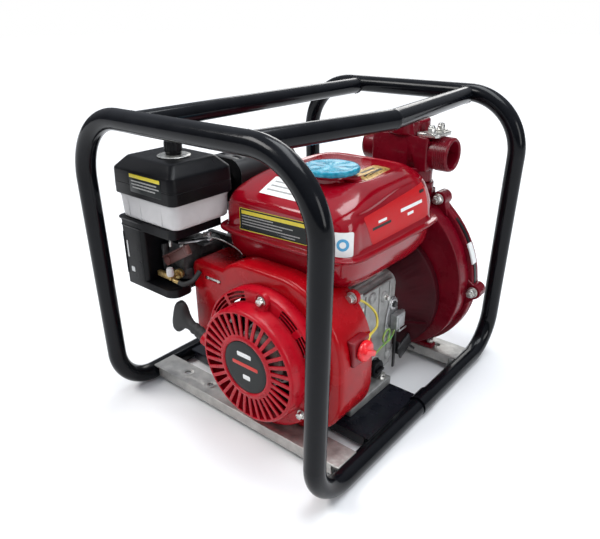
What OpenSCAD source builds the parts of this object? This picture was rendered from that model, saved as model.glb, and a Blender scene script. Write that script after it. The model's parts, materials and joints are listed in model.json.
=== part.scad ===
// Portable engine-driven fire pump in a tubular carrying frame.
// X runs to the right as seen from the starter end, Y runs from the starter
// towards the pump, Z is up. The origin is on the floor under the frame's middle.

/* [Frame] */
// Outside diameter of the frame tubes
tube_d = 27; // [25:1:28]
// Length of the frame between tube centre lines
frame_length = 490; // [485:1:500]
// Width of the frame at the floor between tube centre lines
frame_width = 386; // [384:1:392]
// How far the hoops lean outwards over their height, in degrees
frame_lean = 1.35; // [1:0.05:1.5]
// Height of the frame between tube centre lines
frame_height = 423; // [420:1:430]
// Bend radius of the hoops' top corners at their centre line
bend_r = 88; // [80:1:95]
// Bend radius where the posts turn into the floor rails
floor_bend_r = 61; // [56:1:70]

/* [Engine] */
// Distance of the crankshaft from the frame's middle plane
crank_x = 46; // [44:1:48]
// Height of the crankshaft above the engine's base
crank_rise = 106; // [105:1:107]
// Height of the tray top, which carries the engine's base
tray_z = 22; // [21:1:23]
// Lean of the cylinder above horizontal, in degrees
cylinder_lean = 25; // [24:1:26]
// Cylinder bore
bore_d = 68; // [66:1:68]
// Crank radius, half of the piston's stroke
crank_r = 27; // [26:1:27]
// Front face of the recoil starter
recoil_face_y = -205; // [-206:1:-204]
// Outside diameter of the starter's drum
recoil_d = 164; // [160:1:166]
// Number of air slots round the starter's hub
recoil_slots = 34; // [28:1:36]

/* [Tank] */
// Left, front, right and rear sides of the tank body
tank_left = -79; // [-82:1:-77]
tank_front = -122; // [-124:1:-120]
tank_right = 147; // [145:1:149]
tank_rear = 108; // [106:1:110]
// Height of the seam where the two tank shells meet
tank_seam_z = 274; // [273:1:275]
// Height of the tank's crown
tank_top_z = 356; // [354:1:358]
// Diameter of the filler cap
cap_d = 78; // [76:1:80]

/* [Pump] */
// Front face of the pump casing
casing_front_y = 128; // [127:1:129]
// Parting plane between the volute and its rear cover
casing_split_y = 168; // [166:1:170]
// Diameter of the impeller
impeller_d = 176; // [168:1:178]
// Inside diameter of the suction and right hand discharge ports
port_bore_d = 40; // [36:1:42]
// Outside diameter of the suction and discharge ports
port_d = 50; // [49:1:52]
// Height of the discharge manifold's port axis
manifold_z = 356; // [355:1:357]

/* [Hidden] */
$fn = 64;

// Clearances
running_gap = 0.05;   // radial gap of a shaft in its bore
body_gap = 0.5;       // gap between bodies that move past each other

// Frame
rail_z = tube_d / 2;
half_l = frame_length / 2;
half_w = frame_width / 2;
top_z = rail_z + frame_height;
post_top_z = top_z - bend_r;
joint_y = 34;          // where the two hoops meet on the side rails
socket_d = 30;
socket_l = 32;
rail_drop = 3;         // the top rails sit this far below the hoops' bars
top_rail_d = 25.4;
left_rail_x = -94;
// The right rail bends outwards to clear the fuel cap
right_rail_ends = [[100, -half_l], [113, half_l]];
right_rail_knee = [143, -30];
weld = 8;              // how deep welded tube ends reach into each other
straight_d = tube_d - 0.1;
bend_lap = 1.5;        // how far a straight stretch reaches into its bends

// Members across the side rails
member_x = 187;
front_member_y = [-187, -147];
rear_member_y = [140, 182];
member_top_z = 27;
sheet_t = 3;
tray_y = [-112, 18];

// Engine
base_z = tray_z;
crank_z = base_z + crank_rise;
cylinder_y = -20;      // the cylinder's axis along the crankshaft
base_hole_dx = 81;     // base bolt holes either side of the crankshaft
base_hole_y = [-70.5, 5];
base_t = 14;           // thickness of the engine's base
case_front_y = -86;
case_rear_y = 46;
cover_rear_y = 57;
deck_l = 142;          // crank axis to the cylinder's top deck
rod_l = 90;            // connecting rod between its centres, which sets the piston's height
journal_d = 25;
pin_d = 30;
filler_y = [-58, -8];
filler_z = 58;
tank_posts = [[0, -62], [92, -62], [92, 30]];
governor_pos = [-74, -80];
shroud_front_y = -158;
shroud_rear_y = -90;
shroud_step_y = -124;
shroud_t = 2.5;
drum_back_y = -178;    // where the starter's drum meets its shoulder
slot_inner_r = 46;
slot_outer_r = 75;
pull_angle = 16;       // the rope leaves upwards at this angle
rope_d = 4;
rope_exit = [-40, -188, 128];
reel_r = 38;

// Tank
seam_rim = 9;          // how far the seam stands out
tank_bottom_z = 229;
cap_pos = [59, -41];
cap_top_z = 367;

// Air cleaner: its extents, and where its hand nut stands
ac_x = [-203, -72];
ac_y = [-206, -95];
ac_cover_z = [322, 374];
ac_base_z = 286;
ac_nut = [-126, -154];

// Pump
adapter_r = [62, 108]; // radius at the engine's cover and at the casing
manifold_x = [12, 109];
manifold_y = [129.5, 182.5];
manifold_half_h = 26;
port_y = 156;
port_right_x = 140;
port_left_x = -9;
left_port_d = 48;       // the capped port is a little smaller
outlet_x = 84;
suction_y = 238;
flap_y = 210;          // check valve's flap, its pin above its middle
flap_pivot_dz = 15.5;
flap_pin_d = 3;
ear_angles = [7, 64, 122, 180, 226];
pump_foot_x = [crank_x - 65, crank_x + 88];  // bolts that hold the pump to the rear member
pump_foot_y = 149.2;

// Muffler
muffler_x = [-162, -90];
muffler_y = [-62, 66];
muffler_z = [272, 352];

// Lugs where the shroud screws to the crankcase: place in X and Z, way to the shroud's wall, reach
shroud_lugs = [[131, 206, 42, 10.5], [-84, 116, -90, 9], [131, 60, -48, 17]];
recoil_bolt_angles = [83, 203, 323];
recoil_bolt_r = 92;
shoulder_d = 200;
plug_l = deck_l + 10;   // spark plug and ports, measured along the cylinder
port_l = deck_l + 30;
carb_y = -152;
carb_z = 226;
carb_x = -124;
choke_x = -130;
fuel_tap_z = 205;
throttle_pos = [-94, -130];

// Wires held between the shroud, the switch and the low oil unit
wire_d = 2.4;
switch_pos = [170, -122, 165];
switch_wire_route = [[132, -70, 214], [141, -62, 210], [149, -57, 200], [154, -56, 187],
  [156, -62, 174], [157, -74, 165], [158, -87, 161], [159, -99, 160]];
oil_wire_route = [[157, -102, 150], [152, -80, 138], [142, -45, 118], [134, -10, 106], [128, 14, 100],
  [124, 28, 106], [122, 34, 114], [119, 38, 121]];

// ---------- shared shapes ----------

// Cylinder between two points
module rod_between(a, b, d) {
  v = b - a;
  l = norm(v);
  translate(a) rotate([0, acos(v[2] / l), atan2(v[1], v[0])]) cylinder(d = d, h = l);
}

// Cylinder along Y, its centre line through [x, z]
module along_y(x, z, y0, y1, d) {
  translate([x, y0, z]) rotate([-90, 0, 0]) cylinder(d = d, h = y1 - y0);
}

// Cylinder along X, its centre line through [y, z]
module along_x(y, z, x0, x1, d) {
  translate([x0, y, z]) rotate([0, 90, 0]) cylinder(d = d, h = x1 - x0);
}

// Box from its two corners
module box(a, b) {
  translate(a) cube(b - a);
}

// Rectangle with round corners, from its two corners
module round_rect(a, b, r) {
  translate([a[0] + r, a[1]]) square([b[0] - a[0] - 2 * r, b[1] - a[1]]);
  translate([a[0], a[1] + r]) square([b[0] - a[0], b[1] - a[1] - 2 * r]);
  for (x = [a[0] + r, b[0] - r], y = [a[1] + r, b[1] - r]) translate([x, y]) circle(r = r);
}

// A 2D outline drawn in X and Z, extruded from y0 to y1
module plate_y(y0, y1) {
  translate([0, y1, 0]) rotate([90, 0, 0]) linear_extrude(y1 - y0) children();
}

module at_crank() { translate([crank_x, 0, crank_z]) children(); }

// Children are drawn with Z along the inclined cylinder, from the crank axis
module on_cylinder_axis() {
  translate([crank_x, cylinder_y, crank_z]) rotate([0, cylinder_lean - 90, 0]) children();
}

// Places children round the crank axis, in the plane Y = 0, at radius r and angle a
module round_crank(r, a) {
  translate([crank_x + r * cos(a), 0, crank_z + r * sin(a)]) children();
}

// Hexagon bolt along Y: the head faces -Y from y, the shank goes to +Y
module bolt_y(x, z, y, head, shank_d, shank_l) {
  translate([x, y, z]) rotate([90, 0, 0]) cylinder(d = head, h = head * 0.55, $fn = 6);
  translate([x, y + 1.5, z]) rotate([90, 0, 0]) cylinder(d = head * 1.35, h = 1.5);
  if (shank_l > 0) along_y(x, z, y + 1.5, y + shank_l, shank_d);
}

function ring_points(c, u, v, r, n) =
  [for (i = [0:n - 1]) c + r * (cos(360 * i / n) * u + sin(360 * i / n) * v)];
function unit(v) = v / norm(v);
function side_of(t) = unit(cross(t, abs(t[2]) > 0.9 ? [1, 0, 0] : [0, 0, 1]));
function spline(p, i, t) =
  let (a = p[max(i - 1, 0)], b = p[i], c = p[i + 1], d = p[min(i + 2, len(p) - 1)])
  0.5 * (2 * b + (c - a) * t + (2 * a - 5 * b + 4 * c - d) * t * t + (3 * b - a - 3 * c + d) * t * t * t);
function smooth_route(p, steps) =
  concat([for (i = [0:len(p) - 2], s = [0:steps - 1]) spline(p, i, s / steps)], [p[len(p) - 1]]);

// Round tube of n sides that follows a route
module swept_tube(route, d, n) {
  path = smooth_route(route, 4);
  last = len(path) - 1;
  tangents = [for (i = [0:last]) unit(path[min(i + 1, last)] - path[max(i - 1, 0)])];
  points = [for (i = [0:last]) let (u = side_of(tangents[i])) each
    ring_points(path[i], u, cross(tangents[i], u), d / 2, n)];
  walls = [for (i = [0:last - 1], j = [0:n - 1])
    [(i + 1) * n + j, (i + 1) * n + (j + 1) % n, i * n + (j + 1) % n, i * n + j]];
  start = [for (j = [0:n - 1]) j];
  end = [for (j = [n - 1 : -1 : 0]) last * n + j];
  polyhedron(points, concat(walls, [start, end]), convexity = 4);
}

// ---------- frame ----------

// One side of a hoop: floor rail, floor bend and post, leaning about the rail
module hoop_side(rail_end) {
  post_l = (frame_height - bend_r * (1 + sin(frame_lean))) / cos(frame_lean);
  translate([half_w, 0, rail_z]) rotate([0, frame_lean, 0]) {
    along_y(0, 0, -half_l + floor_bend_r - bend_lap, rail_end, straight_d);
    translate([0, -half_l + floor_bend_r, floor_bend_r]) rotate([90, 0, 90]) rotate([0, 0, 180])
      rotate_extrude(angle = 90) translate([floor_bend_r, 0]) circle(d = tube_d);
    translate([0, -half_l, floor_bend_r - bend_lap])
      cylinder(d = straight_d, h = post_l - floor_bend_r + 2 * bend_lap);
  }
}

// Centre of the top bend, so that the bend meets both the bar and the post
function top_bend_x() = half_w + (post_top_z - rail_z) * tan(frame_lean) - bend_r / cos(frame_lean);

module hoop(rail_end) {
  for (side = [0, 1]) mirror([side, 0, 0]) {
    hoop_side(rail_end);
    translate([top_bend_x(), -half_l, post_top_z]) rotate([90, 0, 0]) rotate([0, 0, -frame_lean])
      rotate_extrude(angle = 90 + frame_lean) translate([bend_r, 0]) circle(d = tube_d);
  }
  along_x(-half_l, top_z, -top_bend_x() - bend_lap, top_bend_x() + bend_lap, straight_d);
}

module front_hoop() {
  color("#17181b") {
    hoop(joint_y - socket_l + 10);
    for (side = [0, 1]) mirror([side, 0, 0]) translate([half_w, 0, rail_z + (socket_d - tube_d) / 2])
      along_y(0, 0, joint_y - socket_l, joint_y, socket_d);
  }
}

module rear_hoop() {
  color("#17181b") mirror([0, 1, 0]) hoop(-joint_y);
}

module top_rail_left() {
  color("#17181b") along_y(left_rail_x, top_z - rail_drop, -half_l + weld, half_l - weld, top_rail_d);
}

module top_rail_right() {
  z = top_z - rail_drop;
  knee = [right_rail_knee[0], right_rail_knee[1], z];
  front = [right_rail_ends[0][0], right_rail_ends[0][1] + weld, z];
  rear = [right_rail_ends[1][0], right_rail_ends[1][1] - weld, z];
  color("#17181b") {
    rod_between(front, knee, top_rail_d);
    rod_between(knee, rear, top_rail_d);
    translate(knee) sphere(d = top_rail_d + 0.6);
  }
}

// Inverted channel from rail to rail
module cross_channel(y, holes) {
  difference() {
    union() {
      box([-member_x, y[0], member_top_z - sheet_t], [member_x, y[1], member_top_z]);
      for (wall = [y[0], y[1] - sheet_t])
        box([-member_x + 12, wall, member_top_z - 17], [member_x - 12, wall + sheet_t, member_top_z - 1]);
    }
    for (x = holes) translate([x, (y[0] + y[1]) / 2, 0]) cylinder(d = 9, h = 60);
  }
}

module front_cross_member() { color("#b9b4aa") cross_channel(front_member_y, [-126, -73, 126]); }

module rear_cross_member() {
  color("#c8ccd2") difference() {
    cross_channel(rear_member_y, [-143, 143]);
    for (x = pump_foot_x) translate([x, pump_foot_y, 0]) cylinder(d = 9, h = 60);
  }
}

module engine_tray() {
  x = 183;
  color("#101218") difference() {
    union() {
      box([-x, tray_y[0], tray_z - sheet_t], [x, tray_y[1], tray_z]);
      for (wall = [tray_y[0], tray_y[1] - sheet_t])
        box([-x + 8, wall, tray_z - 16], [x - 8, wall + sheet_t, tray_z - 1]);
    }
    for (dx = [-base_hole_dx, base_hole_dx], y = base_hole_y)
      translate([crank_x + dx, y, 0]) cylinder(d = 9, h = 60);
  }
}

// ---------- engine block ----------

module crankcase() {
  ear_y = [shroud_rear_y + 3, shroud_rear_y + 18];
  color("#8f9290") difference() {
    union() {
      box([crank_x - 91, shroud_rear_y, base_z], [crank_x + 91, 18, base_z + base_t]);
      plate_y(case_front_y, case_rear_y) round_rect([-20, base_z + 4], [114, 196], 16);
      plate_y(case_front_y, case_rear_y) round_rect([-38, 66], [114, 196], 16);
      for (z = [62 : 22 : 172]) box([113, case_front_y + 6, z], [116, case_rear_y - 6, z + 4]);
      // ears that carry the fan shroud, and posts under the fuel tank
      box([100, ear_y[0], 186], [139, ear_y[1], 214]);
      box([-92, ear_y[0], 108], [-30, ear_y[1], 124]);
      box([100, ear_y[0], 52], [139, ear_y[1], 68]);
      for (p = tank_posts) translate([p[0], p[1], 190]) cylinder(d = 20, h = tank_bottom_z - 190);
      on_cylinder_axis() {
        cylinder(d = bore_d + 22, h = deck_l);
        for (l = [88 : 9 : 133]) translate([-52, -50, l]) cube([94, 100, 3]);
        translate([-52, -50, deck_l - 8]) cube([94, 100, 8]);
      }
    }
    box([-12, case_front_y + 8, base_z + 12], [106, case_rear_y + 1, 186]);
    box([-30, case_front_y + 8, 74], [106, case_rear_y + 1, 186]);
    on_cylinder_axis() translate([0, 0, 30]) cylinder(d = bore_d, h = deck_l);
    along_y(crank_x, crank_z, case_front_y - 1, case_front_y + 9, 52);
    for (dx = [-base_hole_dx, base_hole_dx], y = base_hole_y)
      translate([crank_x + dx, y, 0]) cylinder(d = 9, h = 60);
    for (y = filler_y) along_x(y, filler_z, 105, 120, 22);
    for (p = shroud_lugs) along_y(p[0], p[1], ear_y[0] - 1, ear_y[1] + 1, 6);
    translate([governor_pos[0], governor_pos[1], 110]) cylinder(d = 6 + 2 * running_gap, h = 20);
  }
}

// Bearing side cover at the pump end
module pto_cover() {
  color("#9a9c9b") difference() {
    union() {
      plate_y(case_rear_y, cover_rear_y) round_rect([-34, base_z + 8], [112, 192], 18);
      along_y(crank_x, crank_z, case_rear_y - 6, cover_rear_y, 84);
      along_y(crank_x, crank_z, cover_rear_y, cover_rear_y + 4, 92);
    }
    along_y(crank_x, crank_z, case_rear_y - 7, cover_rear_y + 5, 52);
  }
}

// Two ball bearings, each kept as one ring
module main_bearings() {
  color("silver") for (y0 = [case_front_y, cover_rear_y - 16]) difference() {
    along_y(crank_x, crank_z, y0, y0 + 15, 52);
    along_y(crank_x, crank_z, y0 - 1, y0 + 16, journal_d + 2 * running_gap);
  }
}

module cylinder_head() {
  color("#8f9290") on_cylinder_axis() difference() {
    union() {
      translate([-44, -44, deck_l]) cube([88, 88, 42]);
      for (l = [deck_l : 8 : deck_l + 32]) translate([-54, -52, l]) cube([94, 104, 3]);
      translate([-54, -52, deck_l + 36]) cube([94, 104, 6]);
      // intake boss towards the starter end, exhaust boss towards the pump end
      translate([8, -62, port_l]) rotate([-90, 0, 0]) cylinder(d = 36, h = 20);
      translate([8, 42, port_l]) rotate([-90, 0, 0]) cylinder(d = 34, h = 16);
    }
    translate([0, 0, deck_l - 1]) cylinder(d = 62, h = 9);
    translate([8, -63, port_l]) rotate([-90, 0, 0]) cylinder(d = 22, h = 40);
    translate([8, 22, port_l]) rotate([-90, 0, 0]) cylinder(d = 22, h = 40);
    translate([-56, -14, plug_l]) rotate([0, 90, 0]) cylinder(d = 14, h = 50);
  }
}

module rocker_cover() {
  l0 = deck_l + 42;
  color("#1c1d20") on_cylinder_axis() difference() {
    union() {
      translate([0, 0, l0]) linear_extrude(3) round_rect([-50, -42], [50, 42], 12);
      translate([0, 0, l0]) linear_extrude(24) round_rect([-44, -36], [44, 36], 10);
      translate([0, 0, l0 + 23]) cylinder(d = 26, h = 4);
    }
    translate([0, 0, l0 - 1]) linear_extrude(23) round_rect([-41, -33], [41, 33], 8);
  }
}

// Crankshaft with its webs either side of the crank pin
module crankshaft() {
  half_pin = 12;
  web_t = 13;
  on_axis = [sin(cylinder_lean - 90), cos(cylinder_lean - 90)];
  pin_at = [crank_x + crank_r * on_axis[0], crank_z + crank_r * on_axis[1]];
  color("#a7a9ab") {
    along_y(crank_x, crank_z, -152, cylinder_y - half_pin - web_t, journal_d);
    along_y(crank_x, crank_z, cylinder_y + half_pin + web_t, 116, journal_d);
    along_y(crank_x, crank_z, 115, 160, 16);
    along_y(pin_at[0], pin_at[1], cylinder_y - half_pin - 1, cylinder_y + half_pin + 1, pin_d);
    for (y0 = [cylinder_y - half_pin - web_t, cylinder_y + half_pin])
      intersection() {
        along_y(crank_x, crank_z, y0, y0 + web_t, 92);
        translate([crank_x, y0, crank_z]) rotate([0, cylinder_lean - 90, 0])
          translate([-28, 0, -46]) cube([56, web_t, 92]);
      }
  }
}

module piston() {
  crown_l = deck_l - 1.5;
  color("#c4c6c8") on_cylinder_axis() difference() {
    translate([0, 0, crown_l - 48]) cylinder(d = bore_d - 0.14, h = 48);
    translate([0, 0, crown_l - 49]) cylinder(d = 56, h = 42);
    for (l = [5, 9, 13]) translate([0, 0, crown_l - l]) difference() {
      cylinder(d = bore_d + 2, h = 1.5);
      translate([0, 0, -1]) cylinder(d = bore_d - 5, h = 4);
    }
    translate([0, 40, crank_r + rod_l]) rotate([90, 0, 0]) cylinder(d = 18 + 2 * running_gap, h = 80);
  }
}

module piston_pin() {
  color("silver") on_cylinder_axis()
    translate([0, 28, crank_r + rod_l]) rotate([90, 0, 0]) difference() {
      cylinder(d = 18, h = 56);
      translate([0, 0, -1]) cylinder(d = 11, h = 58);
    }
}

// ---------- flywheel, fan and starter ----------

module flywheel() {
  color("#6e7072") difference() {
    union() {
      along_y(crank_x, crank_z, -126, -100, 172);
      along_y(crank_x, crank_z, -126, -96, 60);
    }
    along_y(crank_x, crank_z, -127, -95, journal_d);
    difference() {
      along_y(crank_x, crank_z, -116, -95, 142);
      along_y(crank_x, crank_z, -117, -94, 60);
    }
  }
}

module cooling_fan() {
  blades = 16;
  color("#202124") {
    difference() {
      along_y(crank_x, crank_z, -129.5, -126, 186);
      along_y(crank_x, crank_z, -130, -125, 96);
    }
    for (i = [0 : blades - 1]) at_crank() rotate([0, 360 * i / blades, 0])
      translate([60, -148, 0]) rotate([0, 18, 0]) cube([30, 19, 2.4]);
  }
}

// Pressed cup that the starter's pawls catch
module starter_cup() {
  windows = 8;
  color("#a5a39c") difference() {
    along_y(crank_x, crank_z, -156, -126, 94);
    along_y(crank_x, crank_z, -157, -130, 88);
    along_y(crank_x, crank_z, -131, -125, journal_d);
    for (i = [0 : windows - 1]) at_crank() rotate([0, 360 * i / windows, 0])
      translate([38, -151, -6]) cube([14, 12, 12]);
  }
}

// Outline of the fan shroud: a round housing with a wing over the cylinder
module shroud_outline(inset) {
  high_r = 105;
  high = [crank_x + 122, crank_z + 119];
  difference() {
    round_rect([crank_x - 112 + inset, base_z + 6 + inset], high - [inset, inset], 74 - inset);
    // its top right corner is rounder
    translate(high - [high_r, high_r]) difference() {
      square(2 * high_r);
      circle(r = high_r - inset);
    }
  }
  round_rect([-104 + inset, 106 + inset], [crank_x + 30, 228 - inset], 12 - inset);
}

// Behind the step the shroud is lower, to pass under the fuel tank
module low_shroud_outline(inset) {
  intersection() {
    shroud_outline(inset);
    translate([-150, 0]) square([400, 228 - inset]);
  }
}

module fan_shroud() {
  floor_y = shroud_front_y + shroud_t;
  color("#a5101b") {
    difference() {
      union() {
        plate_y(shroud_front_y, shroud_step_y) shroud_outline(0);
        plate_y(shroud_step_y - shroud_t, shroud_rear_y) low_shroud_outline(0);
      }
      plate_y(floor_y, shroud_step_y - shroud_t) shroud_outline(shroud_t);
      plate_y(shroud_step_y - shroud_t - 1, shroud_rear_y + 1) low_shroud_outline(shroud_t);
      along_y(crank_x, crank_z, shroud_front_y - 1, floor_y + 1, 172);
      // gap for the rope's way out and the wing's slot
      box([-76, shroud_front_y - 1, 204], [-44, floor_y + 1, 209]);
      along_x(switch_pos[1], switch_pos[2], crank_x + 110, crank_x + 130, 18);
      for (a = recoil_bolt_angles)
        round_crank(recoil_bolt_r, a) along_y(0, 0, shroud_front_y - 1, floor_y + 1, 5);
    }
    for (p = shroud_lugs) translate([p[0], shroud_rear_y - 2, p[1]]) difference() {
      union() {
        along_y(0, 0, 0, 5, 18);
        rotate([0, -p[2], 0]) translate([0, 0, -8]) cube([p[3], 2, 16]);
      }
      along_y(0, 0, -1, 6, 6);
    }
  }
}

// Radial air slot, cut through the drum's face
module face_slots() {
  for (i = [0 : recoil_slots - 1]) at_crank() rotate([0, 360 * i / recoil_slots, 0])
    translate([slot_inner_r, recoil_face_y - 1, -2.6]) cube([slot_outer_r - slot_inner_r, 12, 5.2]);
}

// Rectangular louvres through the shoulder, in rows at the upper left and upper right
module shoulder_slots() {
  for (a = [26, 38, 50, 62, 112, 124, 136, 148]) at_crank() rotate([0, -a, 0])
    translate([85, drum_back_y - 2, -6]) cube([14, 12, 12]);
}

module recoil_cover() {
  wall = 3;
  color("#b3121d") difference() {
    union() {
      along_y(crank_x, crank_z, recoil_face_y, drum_back_y, recoil_d);
      along_y(crank_x, crank_z, drum_back_y, shroud_front_y, shoulder_d);
      round_crank(recoil_bolt_r, recoil_bolt_angles[0]) along_y(0, 0, drum_back_y - 3, shroud_front_y, 22);
      // eyelet boss for the rope
      at_crank() translate([rope_exit[0] - crank_x, rope_exit[1], 0]) rotate([0, -90 + pull_angle, 0])
        translate([0, 0, -10]) cylinder(d = 22, h = 16);
    }
    along_y(crank_x, crank_z, recoil_face_y + wall, drum_back_y + wall, recoil_d - 2 * wall);
    difference() {
      along_y(crank_x, crank_z, drum_back_y + wall, shroud_front_y + 1, shoulder_d - 2 * wall);
      for (a = recoil_bolt_angles)
        round_crank(recoil_bolt_r, a) along_y(0, 0, drum_back_y, shroud_front_y + 2, 12);
    }
    face_slots();
    shoulder_slots();
    translate(rope_exit) rotate([0, -90 + pull_angle, 0]) translate([0, 0, -30])
      cylinder(d = rope_d + 4, h = 60);
    for (a = recoil_bolt_angles)
      round_crank(recoil_bolt_r, a) along_y(0, 0, drum_back_y - 4, shroud_front_y + 1, 5.5);
  }
  // reel spindle behind the hub
  color("#b3121d") along_y(crank_x, crank_z, recoil_face_y + wall, -172, 12);
}

// Plain round badge on the starter's hub
module recoil_badge() {
  color("#141417") along_y(crank_x, crank_z, recoil_face_y - 1.2, recoil_face_y, 76);
}

module rope_reel() {
  color("#26272b") difference() {
    union() {
      along_y(crank_x, crank_z, -194, -176, 2 * reel_r - 12);
      for (y0 = [-194, -178]) along_y(crank_x, crank_z, y0, y0 + 2, 2 * reel_r + 8);
    }
    along_y(crank_x, crank_z, -195, -175, 12 + 2 * running_gap);
  }
}

// Rope wound on the reel, as one ring
module wound_rope() {
  color("#d8d6cf") difference() {
    along_y(crank_x, crank_z, -192, -178, 2 * reel_r);
    along_y(crank_x, crank_z, -193, -177, 2 * reel_r - 12);
  }
}

// Straight stretch of rope from the eyelet to the grip
module starter_rope() {
  color("#d8d6cf") translate(rope_exit) rotate([0, -90 + pull_angle, 0])
    translate([0, 0, -50]) cylinder(d = rope_d, h = 60);
}

module starter_grip() {
  bar_l = 36;
  color("#1a1c22") translate(rope_exit) rotate([0, -90 + pull_angle, 0]) difference() {
    union() {
      translate([0, 0, 8]) cylinder(d1 = 18, d2 = 14, h = 52);
      translate([-bar_l / 2, -9, 56]) cube([bar_l, 18, 19]);
      for (dx = [-bar_l / 2, bar_l / 2])
        translate([dx, -9, 65.5]) rotate([-90, 0, 0]) cylinder(d = 19, h = 18);
    }
    translate([0, 0, 7]) cylinder(d = rope_d + 1, h = 4);
  }
}

module shroud_bolts() {
  color("silver") {
    for (a = recoil_bolt_angles) {
      // the first bolt sits on a raised boss
      seat_y = a == recoil_bolt_angles[0] ? drum_back_y - 4.5 : drum_back_y - 1.5;
      round_crank(recoil_bolt_r, a) bolt_y(0, 0, seat_y, 10, 5, 20);
    }
    for (p = shroud_lugs) bolt_y(p[0], p[1], shroud_rear_y - 3.5, 10, 5.6, 14);
  }
}

// ---------- fuel tank ----------

// Thin slab of the tank's rounded outline, drawn in at its left, front, right and rear
module tank_slab(z, inset, r) {
  translate([0, 0, z]) linear_extrude(0.5)
    round_rect([tank_left + inset[0], tank_front + inset[1]],
               [tank_right - inset[2], tank_rear - inset[3]], r,
      $fn = 32);
}

module tank_body(shrink) {
  skin = [shrink, shrink, shrink, shrink];
  hull() {
    tank_slab(tank_seam_z, skin, 30 - shrink);
    tank_slab(tank_seam_z + 44 - shrink, skin + [4, 2, 4, 3], 30 - shrink);
    tank_slab(tank_seam_z + 66 - shrink, skin + [18, 38, 19, 6], 28 - shrink);
    tank_slab(tank_top_z - 6 - shrink, skin + [34, 62, 37, 15], 24 - shrink);
    tank_slab(tank_top_z - 0.5 - shrink, skin + [60, 82, 58, 38], 14 - shrink);
  }
}

module seam_rim(z, t) {
  translate([0, 0, z]) linear_extrude(t)
    round_rect([tank_left - seam_rim, tank_front - seam_rim],
               [tank_right + seam_rim, tank_rear + seam_rim], 34);
}

module tank_upper_shell() {
  color("#9c0f1c") difference() {
    union() {
      tank_body(0);
      seam_rim(tank_seam_z, 2);
      translate([cap_pos[0], cap_pos[1], tank_top_z - 12]) cylinder(d = 60, h = 14);
    }
    tank_body(2.5);
    translate([cap_pos[0], cap_pos[1], tank_top_z - 30]) cylinder(d = 50, h = 60);
    translate([0, 0, tank_seam_z - 1]) linear_extrude(3)
      round_rect([tank_left + 2.5, tank_front + 2.5], [tank_right - 2.5, tank_rear - 2.5], 27);
  }
}

module tank_lower_slab(z, inset) {
  translate([0, 0, z]) linear_extrude(0.5)
    round_rect([tank_left + inset, tank_front + inset],
               [tank_right - inset, tank_rear - inset], 30, $fn = 32);
}

module tank_lower_shell() {
  color("#8f0e19") difference() {
    union() {
      hull() {
        tank_lower_slab(tank_seam_z - 0.5, 1);
        tank_lower_slab(tank_bottom_z + 12, 10);
        tank_lower_slab(tank_bottom_z, 24);
      }
      seam_rim(tank_seam_z - 2, 2);
    }
    hull() {
      tank_lower_slab(tank_seam_z, 4);
      tank_lower_slab(tank_bottom_z + 14, 13);
      tank_lower_slab(tank_bottom_z + 2.5, 26);
    }
  }
}

// Screw-down filler cap with a fluted rim
module fuel_cap() {
  flutes = 24;
  skirt_z = tank_top_z + 3;
  color("#37a9cf") translate([cap_pos[0], cap_pos[1], 0]) difference() {
    union() {
      translate([0, 0, skirt_z]) cylinder(d = cap_d, h = cap_top_z - skirt_z - 2);
      translate([0, 0, cap_top_z - 2]) cylinder(d1 = cap_d, d2 = cap_d - 8, h = 2);
    }
    translate([0, 0, skirt_z - 1]) cylinder(d = 62, h = 3);
    for (i = [0 : flutes - 1]) rotate([0, 0, 360 * i / flutes]) translate([cap_d / 2 + 1.6, 0, skirt_z - 1])
      cylinder(d = 5, h = 30);
  }
}

module fuel_strainer() {
  color("white") translate([cap_pos[0], cap_pos[1], 0]) difference() {
    union() {
      translate([0, 0, tank_top_z - 60]) cylinder(d = 44, h = 62);
      translate([0, 0, tank_top_z + 2]) cylinder(d = 54, h = 2);
    }
    translate([0, 0, tank_top_z - 58]) cylinder(d = 40, h = 80);
  }
}

// ---------- air cleaner and carburettor ----------

module ac_slab(z, inset, r) {
  translate([0, 0, z]) linear_extrude(0.5)
    round_rect([ac_x[0] + inset, ac_y[0] + inset], [ac_x[1] - inset, ac_y[1] - inset], r, $fn = 32);
}

module ac_shape(shrink) {
  hull() {
    ac_slab(ac_cover_z[0], shrink, 10 - shrink);
    ac_slab(ac_cover_z[0] + 36, shrink, 10 - shrink);
    ac_slab(ac_cover_z[1] - 0.5 - shrink, shrink + 15, 7);
  }
}

module air_cleaner_cover() {
  color("#131416") difference() {
    ac_shape(0);
    translate([0, 0, -1]) ac_shape(2.5);
    translate([ac_nut[0], ac_nut[1], 300]) cylinder(d = 8, h = 100);
  }
}

module air_cleaner_base() {
  inset = 4;
  wall = 3;
  color("#c9c6c0") difference() {
    union() {
      translate([0, 0, ac_base_z]) linear_extrude(ac_cover_z[0] - ac_base_z)
        round_rect([ac_x[0] + inset, ac_y[0] + inset], [ac_x[1] - inset, ac_y[1] - inset], 14);
      translate([ac_nut[0], ac_nut[1], ac_base_z]) cylinder(d = 6, h = 106);
    }
    difference() {
      translate([0, 0, ac_base_z + wall]) linear_extrude(60)
        round_rect([ac_x[0] + inset + wall, ac_y[0] + inset + wall],
          [ac_x[1] - inset - wall, ac_y[1] - inset - wall], 11);
      translate([ac_nut[0], ac_nut[1], ac_base_z]) cylinder(d = 6, h = 110);
    }
    translate([-160, -150, ac_base_z - 1]) cylinder(d = 36, h = 6);
  }
}

// Oval paper element inside the cleaner
module filter_element() {
  color("#d9c58a") translate([0, 0, ac_base_z + 3]) linear_extrude(62) difference() {
    round_rect([ac_x[0] + 14, ac_y[0] + 14], [ac_x[1] - 14, ac_y[1] - 14], 14);
    round_rect([ac_x[0] + 30, ac_y[0] + 30], [ac_x[1] - 30, ac_y[1] - 30], 10);
  }
}

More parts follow.
